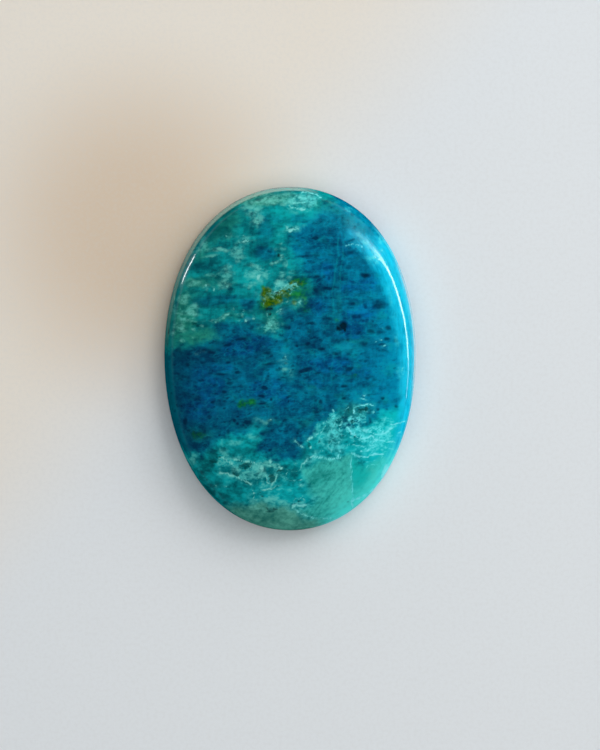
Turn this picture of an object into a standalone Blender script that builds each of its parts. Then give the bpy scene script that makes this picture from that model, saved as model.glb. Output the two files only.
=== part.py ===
"""An oval cabochon of shattuckite in chrysocolla, lying on its flat back with its polished dome up.

Metres, +Z up out of the dome, +Y along the long axis, the origin at the middle of the flat back.
The stone is one piece. A round button is turned from the cabochon's profile, and its rings are then
carried out to the hand-ground oval, so that the bezel wall keeps one width all the way round.
"""

import math

import bpy
from mathutils import Vector

MM = 0.001

# Driving dimensions of the stone.
LENGTH = 30.0 * MM
WIDTH = 21.9 * MM
THICKNESS = 4.8 * MM

# The oval is a little fuller than an ellipse, and a little wider towards its upper end.
FULLNESS = 0.010
EGG = 0.012

# The profile from the back up: a small bevel, a narrow upright girdle, the leaning bezel wall, and
# the low dome, which is flatter in the middle and rounder at its shoulder than an ellipse. The
# dome's arc springs from its base at the rim's inset, and the wall meets it at its starting angle.
BACK_BEVEL = 0.45 * MM
GIRDLE_TOP = 0.90 * MM
DOME_BASE = 2.10 * MM
DOME_RIM_INSET = 0.10 * MM
DOME_FLATNESS = 2.7
DOME_START = math.radians(12.0)

# How finely the stone is faceted.
AROUND = 120
DOME_RINGS = 20
EDGE_SOFTENING = 0.18 * MM
EDGE_SEGMENTS = 2
SOFTENED_ABOVE = math.radians(9.0)

STONE_BLUE = (0.004, 0.155, 0.225, 1.0)
POLISH_ROUGHNESS = 0.12


def clear_scene():
    for obj in list(bpy.data.objects):
        bpy.data.objects.remove(obj, do_unlink=True)


def mean_radius():
    """The radius of the round button that the oval is made from."""
    return (LENGTH + WIDTH) / 4


def dome_point(angle):
    """A point of the dome's arc, as its inset from the outline and its height.

    The arc is an ellipse whose cosine is raised to a power, which flattens its top. Its axes are the
    button's radius less the rim's inset, and the rise from the dome's base. At a quarter turn it is
    at the top of the stone.
    """
    reach = mean_radius() - DOME_RIM_INSET
    inset = mean_radius() - reach * max(math.cos(angle), 0.0) ** (2 / DOME_FLATNESS)
    return inset, DOME_BASE + (THICKNESS - DOME_BASE) * math.sin(angle)


def profile():
    """The cabochon's half section from the top of the dome down to the middle of the back."""
    step = (math.pi / 2 - DOME_START) / DOME_RINGS
    top = (mean_radius(), THICKNESS)
    dome = [dome_point(math.pi / 2 - step * ring) for ring in range(1, DOME_RINGS + 1)]
    girdle = [(0.0, GIRDLE_TOP), (0.0, BACK_BEVEL)]
    back = [(BACK_BEVEL, 0.0), (mean_radius(), 0.0)]
    return [top] + dome + girdle + back


def outline(turn):
    """The oval at a turn from +X: an ellipse with a third harmonic for its fullness, and wider above."""
    across = (math.cos(turn) - FULLNESS * math.cos(3 * turn)) / (1 - FULLNESS)
    along = (math.sin(turn) + FULLNESS * math.sin(3 * turn)) / (1 - FULLNESS)
    return Vector((WIDTH / 2 * across * (1 + EGG * along), LENGTH / 2 * along))


def oval_place(inset, turn):
    """The place in plan of a ring's point.

    Near the edge the ring lies at its inset from the outline. Towards the middle that inset is
    scaled to the outline's own radius, so that every ring closes on the centre.
    """
    edge = outline(turn)
    depth = inset / mean_radius()
    scaled_inset = inset * (1 - depth + depth * edge.length / mean_radius())
    return edge * (1 - scaled_inset / edge.length)


def turned_button():
    """The profile turned about +Z into a closed round button."""
    points = [(mean_radius() - inset, 0.0, height) for inset, height in profile()]
    edges = [(i, i + 1) for i in range(len(points) - 1)]
    mesh = bpy.data.meshes.new("button_profile")
    mesh.from_pydata(points, edges, [])
    button = bpy.data.objects.new("button", mesh)
    bpy.context.scene.collection.objects.link(button)
    screw = button.modifiers.new("turn", "SCREW")
    screw.axis = "Z"
    screw.steps = AROUND
    screw.render_steps = AROUND
    screw.use_merge_vertices = True
    screw.merge_threshold = 0.01 * MM
    return button


def evaluated_mesh(obj):
    """The object's mesh with its modifiers applied. The object itself is removed."""
    bpy.context.view_layer.update()
    graph = bpy.context.evaluated_depsgraph_get()
    mesh = bpy.data.meshes.new_from_object(obj.evaluated_get(graph))
    bpy.data.objects.remove(obj, do_unlink=True)
    return mesh


def carry_to_oval(mesh):
    """Moves each vertex of the round button to its place on the oval stone, at its own height."""
    for vertex in mesh.vertices:
        inset = mean_radius() - math.hypot(vertex.co.x, vertex.co.y)
        turn = math.atan2(vertex.co.y, vertex.co.x)
        vertex.co.xy = oval_place(inset, turn)


def soften_edges(obj):
    """Rounds the girdle and the back bevel, as polishing does."""
    bevel = obj.modifiers.new("polish", "BEVEL")
    bevel.width = EDGE_SOFTENING
    bevel.segments = EDGE_SEGMENTS
    bevel.limit_method = "ANGLE"
    bevel.angle_limit = SOFTENED_ABOVE


def polished_stone():
    material = bpy.data.materials.new("polished_shattuckite")
    material.use_nodes = True
    shader = material.node_tree.nodes["Principled BSDF"]
    shader.inputs["Base Color"].default_value = STONE_BLUE
    shader.inputs["Roughness"].default_value = POLISH_ROUGHNESS
    shader.inputs["Metallic"].default_value = 0.0
    material.diffuse_color = STONE_BLUE
    return material


def make_cabochon(collection):
    mesh = evaluated_mesh(turned_button())
    mesh.name = "cabochon"
    carry_to_oval(mesh)
    mesh.shade_smooth()
    mesh.materials.clear()
    mesh.materials.append(polished_stone())
    cabochon = bpy.data.objects.new("cabochon", mesh)
    collection.objects.link(cabochon)
    soften_edges(cabochon)
    return cabochon


def main():
    clear_scene()
    collection = bpy.data.collections.new("shattuckite_cabochon")
    bpy.context.scene.collection.children.link(collection)
    make_cabochon(collection)


main()
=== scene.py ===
import math

import bpy
import numpy as np
from mathutils import Matrix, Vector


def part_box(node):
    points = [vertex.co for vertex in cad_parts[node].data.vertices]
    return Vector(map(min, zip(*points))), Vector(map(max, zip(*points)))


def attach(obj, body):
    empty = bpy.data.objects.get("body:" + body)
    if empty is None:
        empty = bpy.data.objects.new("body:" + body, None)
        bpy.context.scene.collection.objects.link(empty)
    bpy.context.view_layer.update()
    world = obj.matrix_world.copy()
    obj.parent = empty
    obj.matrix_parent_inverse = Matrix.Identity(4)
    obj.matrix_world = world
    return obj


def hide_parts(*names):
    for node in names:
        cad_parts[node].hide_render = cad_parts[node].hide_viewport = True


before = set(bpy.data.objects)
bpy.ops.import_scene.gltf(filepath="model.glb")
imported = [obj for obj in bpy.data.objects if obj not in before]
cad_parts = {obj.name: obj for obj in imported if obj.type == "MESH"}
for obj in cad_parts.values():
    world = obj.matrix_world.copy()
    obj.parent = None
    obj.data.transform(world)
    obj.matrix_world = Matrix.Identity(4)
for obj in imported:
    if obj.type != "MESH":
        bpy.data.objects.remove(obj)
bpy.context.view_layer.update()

# The cabochon: one lump of shattuckite grown through chrysocolla and quartz, sawn to a slab, ground
# to an oval and domed by hand on finer and finer wheels, then polished to a gloss all over.
# Its sizes and markings are in millimetres, and its mesh is in metres as the frame is.
MM = 0.001
lowest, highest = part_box("cabochon")
LENGTH = (highest.y - lowest.y) / MM
WIDTH = (highest.x - lowest.x) / MM
THICKNESS = (highest.z - lowest.z) / MM
MEAN_RADIUS = (LENGTH + WIDTH) / 4
# How full and how egg-shaped the oval is, and then the heights and insets of the half section.
FULLNESS = 0.010
EGG = 0.012
BACK_BEVEL = 0.45
GIRDLE_TOP = 0.90
DOME_BASE = 2.10
DOME_RIM_INSET = 0.10
DOME_FLATNESS = 2.7
DOME_START = math.radians(12.0)
DOME_STEPS = 900
EDGE_SOFTENING = 0.26
SECTION_STEP = 0.01

# The face is a square grid of this many rings, the wall has its own, and the back has half as many.
FACE_RINGS = 124
WALL_RINGS = 18
BACK_RINGS = FACE_RINGS // 2


def section():
    """The half section from the middle of the dome to the middle of the back, at equal steps.

    The dome is an arc whose inset is the mean radius less its reach times a power of the cosine and
    whose height is the sine times its rise. The wall, girdle, bevel and back are straight. Every
    corner is then eased by a running mean. Returns the lengths of the steps along the section, their
    insets and their heights, and the lengths at which the dome ends and the back begins.
    """
    angle = np.linspace(math.pi / 2, DOME_START, DOME_STEPS)
    reach = MEAN_RADIUS - DOME_RIM_INSET
    inset = MEAN_RADIUS - reach * np.maximum(np.cos(angle), 0) ** (2 / DOME_FLATNESS)
    height = DOME_BASE + (THICKNESS - DOME_BASE) * np.sin(angle)
    inset = np.concatenate([inset, [0, 0, BACK_BEVEL, MEAN_RADIUS]])
    height = np.concatenate([height, [GIRDLE_TOP, BACK_BEVEL, 0, 0]])
    length = np.concatenate([[0], np.cumsum(np.hypot(np.diff(inset), np.diff(height)))])
    steps = np.arange(0, length[-1], SECTION_STEP)
    even = np.array([np.interp(steps, length, inset), np.interp(steps, length, height)])
    reach_of_mean = int(EDGE_SOFTENING / SECTION_STEP / 2)
    window = 2 * reach_of_mean + 1
    for row in even:
        row[reach_of_mean:-reach_of_mean] = np.convolve(row, np.ones(window) / window, mode="valid")
    # The last step falls just short of the middle of the back, so both ends are set to the middle.
    even[0, 0] = even[0, -1] = MEAN_RADIUS
    dome_end = length[len(angle) - 1]
    back_start = length[-2]
    return steps, even[0], even[1], dome_end, back_start


def outline(turn):
    """The oval: an ellipse with a third harmonic for its fullness, a little wider at its upper end."""
    across = (np.cos(turn) - FULLNESS * np.cos(3 * turn)) / (1 - FULLNESS)
    along = (np.sin(turn) + FULLNESS * np.sin(3 * turn)) / (1 - FULLNESS)
    return WIDTH / 2 * across * (1 + EGG * along), LENGTH / 2 * along


def oval_place(inset, turn):
    """Carries an inset and a turn to the plan.

    The inset is true at the edge, and is scaled towards the middle by the outline's own radius over
    the mean one, so that every ring closes there.
    """
    x, y = outline(turn)
    radius = np.hypot(x, y)
    depth = inset / MEAN_RADIUS
    scaled = inset * (1 - depth + depth * radius / MEAN_RADIUS)
    return x * (1 - scaled / radius), y * (1 - scaled / radius)


def square_disc(rings):
    """A disc as a square grid.

    A grid point's ring is the larger of its two steps from the middle, and its turn runs evenly
    round that square. Returns each point's share of the radius, and its turn.
    """
    step = np.arange(-rings, rings + 1) / rings
    a, b = np.meshgrid(step, step)
    share = np.maximum(np.abs(a), np.abs(b))
    wide = np.abs(a) > np.abs(b)
    safe_a = np.where(wide, a, 1.0)
    safe_b = np.where(wide | (b == 0), 1.0, b)
    turn = np.where(wide, math.pi / 4 * b / safe_a, math.pi / 2 - math.pi / 4 * a / safe_b)
    turn = turn + np.where(np.where(wide, a, b) < 0, math.pi, 0.0)
    return share.ravel(), turn.ravel()


def square_rim(rings, first):
    """The indices of a square grid's border, once round from its first corner, counted from first."""
    side = 2 * rings + 1
    index = np.arange(side * side).reshape(side, side) + first
    return np.concatenate([index[0, :-1], index[:-1, -1], index[-1, :0:-1], index[:0:-1, 0]])


def square_faces(rings, first):
    """The four-sided faces of a square grid, facing up, counted from first."""
    side = 2 * rings + 1
    index = np.arange(side * side).reshape(side, side) + first
    return np.stack([index[:-1, :-1], index[:-1, 1:], index[1:, 1:], index[1:, :-1]], -1).reshape(-1, 4)


def stone_surface():
    """The closed surface: a domed face, rings down the wall, and a back with half as many points.

    Every point is a place on the half section carried to the oval at its turn. Returns the points,
    their insets, the four-sided faces, and the three-sided ones that join the wall to the back.
    """
    steps, insets, heights, dome_end, back_start = section()
    face_share, face_turn = square_disc(FACE_RINGS)
    back_share, back_turn = square_disc(BACK_RINGS)
    face_count = len(face_share)
    rim = square_rim(FACE_RINGS, 0)
    around = len(rim)
    wall_share = np.arange(1, WALL_RINGS + 1) / WALL_RINGS
    wall_run = np.repeat(dome_end + (back_start - dome_end) * wall_share, around)
    back_first = face_count + len(wall_run)
    back_reach = steps[-1] - back_start - EDGE_SOFTENING
    run = np.concatenate([
        face_share * dome_end, wall_run, steps[-1] - back_share * back_reach,
    ])
    turn = np.concatenate([face_turn, np.tile(face_turn[rim], WALL_RINGS), back_turn])
    inset = np.interp(run, steps, insets)
    height = np.interp(run, steps, heights)
    x, y = oval_place(inset, turn)
    # The oval is widest between two of the grid's turns, so the grid is stretched to the true width.
    x = x * WIDTH / 2 / np.abs(x).max()
    rings = np.concatenate([rim[None], np.arange(face_count, back_first).reshape(WALL_RINGS, around)])
    beside = np.roll(rings, -1, axis=1)
    wall = np.stack([rings[:-1], rings[1:], beside[1:], beside[:-1]], -1).reshape(-1, 4)
    back = square_faces(BACK_RINGS, back_first)[:, ::-1]
    fine = rings[-1]
    coarse = square_rim(BACK_RINGS, back_first)
    here, middle, there = fine[::2], fine[1::2], np.roll(fine, -1)[1::2]
    below, below_there = coarse, np.roll(coarse, -1)
    joins = np.concatenate([
        np.stack([here, below, middle], -1),
        np.stack([middle, below, below_there], -1),
        np.stack([middle, below_there, there], -1),
    ])
    quads = np.concatenate([square_faces(FACE_RINGS, 0), wall, back])
    return np.stack([x, y, height], -1), inset, quads, joins


def grain(points, cells_per_mm, seed):
    """Smooth random values from -1 to 1: random numbers on a cubic lattice, eased between corners."""
    lattice_size = 48
    lattice = np.random.default_rng(seed).uniform(-1, 1, (lattice_size,) * 3)
    spot = points * cells_per_mm
    cell = np.floor(spot).astype(int)
    part = spot - cell
    part = part * part * (3 - 2 * part)
    total = np.zeros(len(points))
    for corner in np.ndindex(2, 2, 2):
        i, j, k = ((cell + np.array(corner)) % lattice_size).T
        total += np.prod(np.where(corner, part, 1 - part), axis=1) * lattice[i, j, k]
    return total


def ovals(points, marks, grown=1.0):
    """How far each point is inside soft ovals (x, y, length, width, turn in degrees, strength).

    An oval gives its strength times a half to the cube of d, where d is 0 at its middle and 1 at
    its edge, and the strongest oval counts.
    """
    field = np.zeros(len(points))
    for x, y, length, width, turn, strength in marks:
        c, s = math.cos(math.radians(turn)), math.sin(math.radians(turn))
        along = ((points[:, 0] - x) * c + (points[:, 1] - y) * s) / (grown * length / 2)
        across = ((points[:, 1] - y) * c - (points[:, 0] - x) * s) / (grown * width / 2)
        field = np.maximum(field, strength * 0.5 ** np.hypot(along, across) ** 3)
    return field


def distance(points, start, end):
    """How far each point is from its nearest place on the straight run from start to end."""
    run = end - start
    share = np.clip((points - start) @ run / (run @ run), 0, 1)
    return np.hypot(*(points - start - share[:, None] * run).T)


def veins(points, marks, swell):
    """How near each point is to veins (half width, strength, corner, corner, ...).

    A vein gives its strength times a half to the square of d, where d is the distance to the chain
    of straight runs between its corners, over the half width as it swells and thins.
    """
    field = np.zeros(len(points))
    for half_width, strength, *corners in marks:
        corners = np.array(corners, float)
        runs = [distance(points, start, end) for start, end in zip(corners, corners[1:])]
        field = np.maximum(field, strength * 0.5 ** (np.min(runs, axis=0) / (half_width * swell)) ** 2)
    return field


def zone(points, corners):
    """The distance in millimetres to a closed outline through the corners, above 0 inside it."""
    corners = np.array(corners, float)
    nearest = np.full(len(points), np.inf)
    within = np.zeros(len(points), bool)
    for start, end in zip(corners, np.roll(corners, -1, axis=0)):
        nearest = np.minimum(nearest, distance(points, start, end))
        spans = (start[1] > points[:, 1]) != (end[1] > points[:, 1])
        rise = end[1] - start[1] or 1.0
        crossing = start[0] + (points[:, 1] - start[1]) / rise * (end[0] - start[0])
        within ^= spans & (points[:, 0] < crossing)
    return np.where(within, nearest, -nearest)


# Where the minerals lie, seen on the face with the wider end up. Chrysocolla makes the teal upper
# left, the green left edge and the aqua foot; the rest is shattuckite.
TEAL_ZONE = [
    (-12.0, 0.9), (-12.0, 9.0), (-8.5, 13.0), (-5.5, 15.5), (0.0, 17.0), (5.0, 16.5), (4.0, 13.9),
    (2.6, 13.3), (1.7, 12.4), (0.9, 11.7), (0.1, 10.8), (-0.1, 9.8), (0.3, 8.6), (0.8, 7.8), (1.7, 7.1),
    (1.9, 5.9), (1.4, 4.7), (0.0, 4.4), (-0.2, 3.4), (-0.9, 2.5), (-2.0, 2.4), (-3.4, 2.9), (-4.6, 3.2),
    (-6.0, 3.2), (-7.0, 2.2), (-7.8, 1.4), (-9.3, 1.0),
]
AQUA_ZONE = [
    (-12.0, -8.2), (-9.3, -8.3), (-7.6, -8.6), (-6.4, -7.5), (-5.2, -6.8), (-3.8, -6.7), (-2.9, -6.2),
    (-2.3, -6.9), (-2.9, -7.8), (-2.6, -8.5), (-1.4, -8.8), (-0.2, -9.2), (0.7, -8.9), (1.2, -8.0),
    (1.7, -6.8), (2.6, -6.0), (3.6, -5.2), (4.3, -5.0), (4.6, -6.4), (5.2, -5.9), (6.2, -5.9),
    (7.4, -5.6), (8.4, -4.7), (9.4, -4.3), (12.0, -4.2), (12.0, -17.0), (-12.0, -17.0),
]
MINT_ZONE = [
    (1.1, -9.6), (2.6, -8.9), (4.4, -8.8), (5.4, -8.5), (6.4, -9.4), (8.2, -8.9), (12.0, -9.0),
    (12.0, -17.0), (1.5, -17.0), (1.3, -14.2), (0.9, -13.4), (2.3, -12.4), (1.4, -11.2),
]
SAGE_ZONE = [
    (-7.0, -13.2), (-5.0, -12.9), (-3.6, -12.8), (-2.4, -12.4), (-1.8, -12.9), (-0.7, -13.1),
    (0.3, -13.3), (1.2, -13.9), (2.8, -14.2), (4.5, -17.0), (-7.0, -17.0),
]
# Where the teal turns green.
GREEN_TINTS = [
    (-9.8, 3.6, 3.4, 5.4, -8, 0.95), (-8.2, 2.0, 4.4, 1.4, 6, 0.8), (-6.3, 11.7, 4.6, 2.6, 35, 0.75),
    (-2.2, 14.0, 5.5, 1.3, 4, 0.8), (-7.6, 9.4, 3.0, 2.0, 20, 0.5), (-8.4, 6.7, 3.4, 1.0, 0, 0.7),
    (-6.2, 6.9, 3.0, 1.6, 0, 0.5), (-5.6, 3.6, 2.6, 0.8, 15, 0.5), (-0.4, 0.0, 1.4, 1.8, 0, 0.35),
    (1.2, 5.4, 1.8, 2.6, 0, 0.5), (-1.7, 3.2, 2.2, 2.0, 0, 0.6), (-5.0, -7.6, 3.0, 1.2, 0, 0.6),
    (5.6, -4.8, 3.2, 1.8, 10, 0.8), (-2.6, -5.7, 3.0, 1.2, 5, 0.5), (-7.8, -6.6, 2.4, 1.2, 0, 0.5),
    (3.6, 4.0, 1.2, 2.4, 0, 0.3), (5.0, 0.8, 2.2, 0.9, -5, 0.35), (1.6, -5.4, 2.0, 1.0, 40, 0.4),
    (3.4, 13.2, 3.4, 1.3, -12, 0.5), (4.9, 12.3, 2.4, 1.4, -40, 0.4), (2.8, 11.9, 2.4, 1.2, 0, 0.25),
    (4.3, 4.2, 0.7, 5.0, 2, 0.4), (5.4, 1.5, 3.0, 0.6, -4, 0.4), (6.3, 11.3, 2.4, 1.6, -45, 0.3),
    (-3.6, -4.1, 2.0, 1.0, 0, 0.4), (2.2, -2.7, 2.0, 0.9, 0, 0.3), (-0.2, -1.2, 1.6, 1.4, 0, 0.45),
    (-0.2, 4.2, 1.6, 1.0, 0, 0.5),
]
# Where the teal turns back to blue, and where the shattuckite is at its purest blue.
BLUE_TINTS = [
    (-6.4, 5.1, 4.4, 1.1, 4, 0.75), (-3.7, 4.8, 1.4, 1.3, 0, 0.95), (-2.2, 11.2, 1.5, 2.8, 0, 0.6),
    (-2.1, 9.3, 1.9, 1.3, 0, 0.85), (-7.6, 8.1, 2.6, 0.8, 0, 0.3), (-5.9, 2.9, 2.4, 0.9, 10, 0.7),
    (-1.2, 12.2, 1.8, 0.8, 0, 0.5), (-5.8, 11.2, 2.4, 1.0, 30, 0.25), (0.4, 12.2, 1.6, 0.7, 20, 0.6),
    (-5.0, 8.4, 1.4, 0.7, 0, 0.4), (-4.4, 6.4, 1.0, 0.8, 0, 0.4), (-3.4, 3.1, 2.4, 1.1, 0, 0.7),
    (-0.2, 3.9, 1.6, 1.2, 0, 0.8), (-8.0, 4.7, 1.6, 0.6, 0, 0.3),
]
PURE_PATCHES = [
    (5.3, 2.4, 2.4, 1.8, 0, 1.0), (6.4, 3.9, 3.4, 1.6, 10, 0.9), (2.5, 4.4, 1.8, 1.6, 0, 0.7),
    (3.2, 7.6, 1.6, 1.2, 0, 0.7), (5.2, 6.2, 2.0, 1.6, 0, 0.7), (6.8, 6.6, 1.6, 1.4, 0, 0.6),
    (-4.4, 1.0, 3.6, 1.5, 6, 1.0), (-2.6, 1.8, 2.0, 1.3, 0, 0.8), (-7.3, -2.2, 3.2, 3.0, 0, 0.9),
    (-8.0, -4.2, 2.6, 2.2, 20, 1.0), (-1.9, -2.8, 3.4, 1.5, 0, 0.9), (-0.5, -3.6, 2.2, 1.3, 0, 0.6),
    (3.6, -0.6, 5.0, 1.1, 0, 0.8), (5.8, -1.2, 2.6, 1.0, 0, 0.7), (2.6, -2.2, 2.4, 1.2, 0, 0.5),
    (-6.0, -0.6, 2.4, 1.2, 0, 0.5), (-4.4, -4.6, 2.0, 1.2, 0, 0.4), (4.6, 9.4, 1.6, 1.2, 0, 0.4),
]
# The tone of the ground under the flecks, above 0.5 lighter and below it darker.
LIGHT_PATCHES = [
    (1.0, 12.4, 2.6, 2.2, 0, 0.7), (-1.3, 12.4, 2.4, 1.2, 10, 0.6), (5.4, 12.6, 3.0, 1.6, -35, 0.7),
    (-1.7, 7.0, 2.2, 1.4, 0, 0.25), (-3.7, 7.0, 2.0, 1.6, 0, 0.6), (-4.6, 7.4, 1.0, 1.4, 0, 0.6),
    (-0.3, 0.2, 1.2, 1.6, 0, 0.6), (-1.3, -1.2, 1.2, 1.0, 0, 0.5), (4.6, 0.9, 1.8, 0.9, 0, 0.7),
    (0.6, 2.0, 1.6, 1.4, 0, 0.2), (-3.4, -6.7, 2.4, 1.0, -20, 0.4), (-5.3, -7.5, 2.2, 0.9, 10, 0.3),
    (2.6, -7.6, 1.6, 2.6, -30, 0.45), (8.3, -7.9, 3.4, 3.0, 60, 1.1), (-0.9, -11.8, 3.2, 1.4, 10, 0.6),
    (4.4, -12.6, 2.8, 2.0, 45, 1.1), (7.2, -11.4, 2.8, 1.2, 45, 1.0), (-5.4, 4.0, 1.8, 0.7, 0, 0.3),
    (3.4, 12.6, 1.8, 1.4, 0, 0.4), (4.9, 10.9, 1.6, 1.4, 0, 0.5), (6.2, -3.4, 2.4, 1.4, 0, 0.4),
]
DARK_PATCHES = [
    (-6.2, 11.6, 3.4, 2.0, 35, 0.6), (-7.6, 8.2, 2.6, 1.2, 0, 0.6), (-3.2, 11.2, 1.8, 1.4, 0, 0.3),
    (-2.6, 9.7, 2.0, 1.6, 0, 0.4), (-9.4, 0.1, 2.6, 1.1, 0, 1.0), (-8.8, -3.6, 1.6, 2.0, 10, 0.5),
    (-8.2, -6.9, 2.2, 2.6, 20, 0.8), (-6.6, 0.5, 5.0, 0.9, 0, 0.5), (-0.6, -7.9, 3.0, 1.6, 0, 0.5),
    (-6.5, -11.9, 3.6, 1.8, -30, 0.45), (-7.2, -9.0, 1.8, 1.8, -40, 0.55), (-4.6, -8.2, 3.4, 1.2, 0, 0.4),
    (-2.6, -7.6, 2.4, 1.4, 0, 0.5), (2.3, -4.6, 1.8, 1.2, 0, 0.5), (6.0, 2.6, 2.0, 1.8, 0, 0.5),
    (3.2, 10.0, 2.6, 1.6, 0, 0.3), (-2.5, 1.2, 2.2, 1.6, 0, 0.6), (-6.4, 5.1, 4.0, 1.0, 4, 0.35),
    (2.6, 6.1, 3.2, 1.2, -5, 0.8), (1.1, 6.8, 1.4, 1.0, 0, 0.6), (1.4, 4.4, 2.0, 1.1, 0, 0.7),
    (-2.1, 4.3, 1.6, 1.0, 0, 0.7), (1.8, 1.4, 1.6, 1.6, 0, 0.6), (-4.8, 1.4, 2.6, 1.0, 0, 0.5),
    (1.6, -1.0, 2.4, 0.9, 0, 0.6), (5.2, -1.0, 1.8, 0.9, 0, 0.5), (-3.4, -4.2, 1.8, 0.9, 0, 0.5),
    (-3.8, -5.6, 1.4, 1.0, 0, 0.6), (-2.6, -2.8, 1.4, 1.0, 0, 0.4), (3.4, 3.0, 1.2, 1.4, 0, 0.4),
    (2.6, -10.4, 2.6, 1.2, 45, 0.5), (3.3, -12.0, 2.6, 0.4, 42, 0.7), (6.1, -9.9, 1.0, 1.8, -10, 0.7),
    (7.4, -9.4, 1.4, 0.6, 10, 0.6), (-1.4, -13.8, 2.4, 0.9, 0, 0.5), (4.4, 6.9, 1.6, 1.2, 0, 0.3),
    (-5.6, -9.8, 1.8, 0.8, 0, 0.6), (-4.6, -8.5, 2.0, 0.8, 0, 0.6), (-3.0, -9.9, 2.2, 1.2, 0, 0.5),
    (-0.2, -9.8, 1.8, 1.0, 0, 0.6), (1.2, -8.4, 1.4, 1.1, 0, 0.5), (-0.2, 4.2, 1.6, 1.0, 0, 0.5),
    (-5.0, 4.2, 3.6, 1.0, 0, 0.6), (-3.0, 4.2, 1.4, 1.0, 0, 0.5), (4.0, 5.6, 1.6, 1.4, 0, 0.5),
    (-7.2, 2.8, 1.8, 0.9, 0, 0.5), (1.2, 5.6, 1.2, 1.0, 0, 0.5), (-5.8, 9.8, 1.8, 0.9, 0, 0.5),
    (-7.2, 7.0, 2.4, 0.9, 0, 0.5), (-1.4, 6.9, 1.6, 1.0, 0, 0.5), (5.0, 5.6, 2.4, 1.0, 0, 0.4),
    (-3.0, 2.8, 1.4, 0.9, 0, 0.4), (2.6, -1.4, 1.6, 1.0, 0, 0.4), (-0.2, -2.8, 1.6, 0.9, 0, 0.4),
    (8.2, -5.6, 1.6, 0.8, 0, 0.5), (4.0, -5.6, 1.2, 0.9, 0, 0.7),
]
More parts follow.
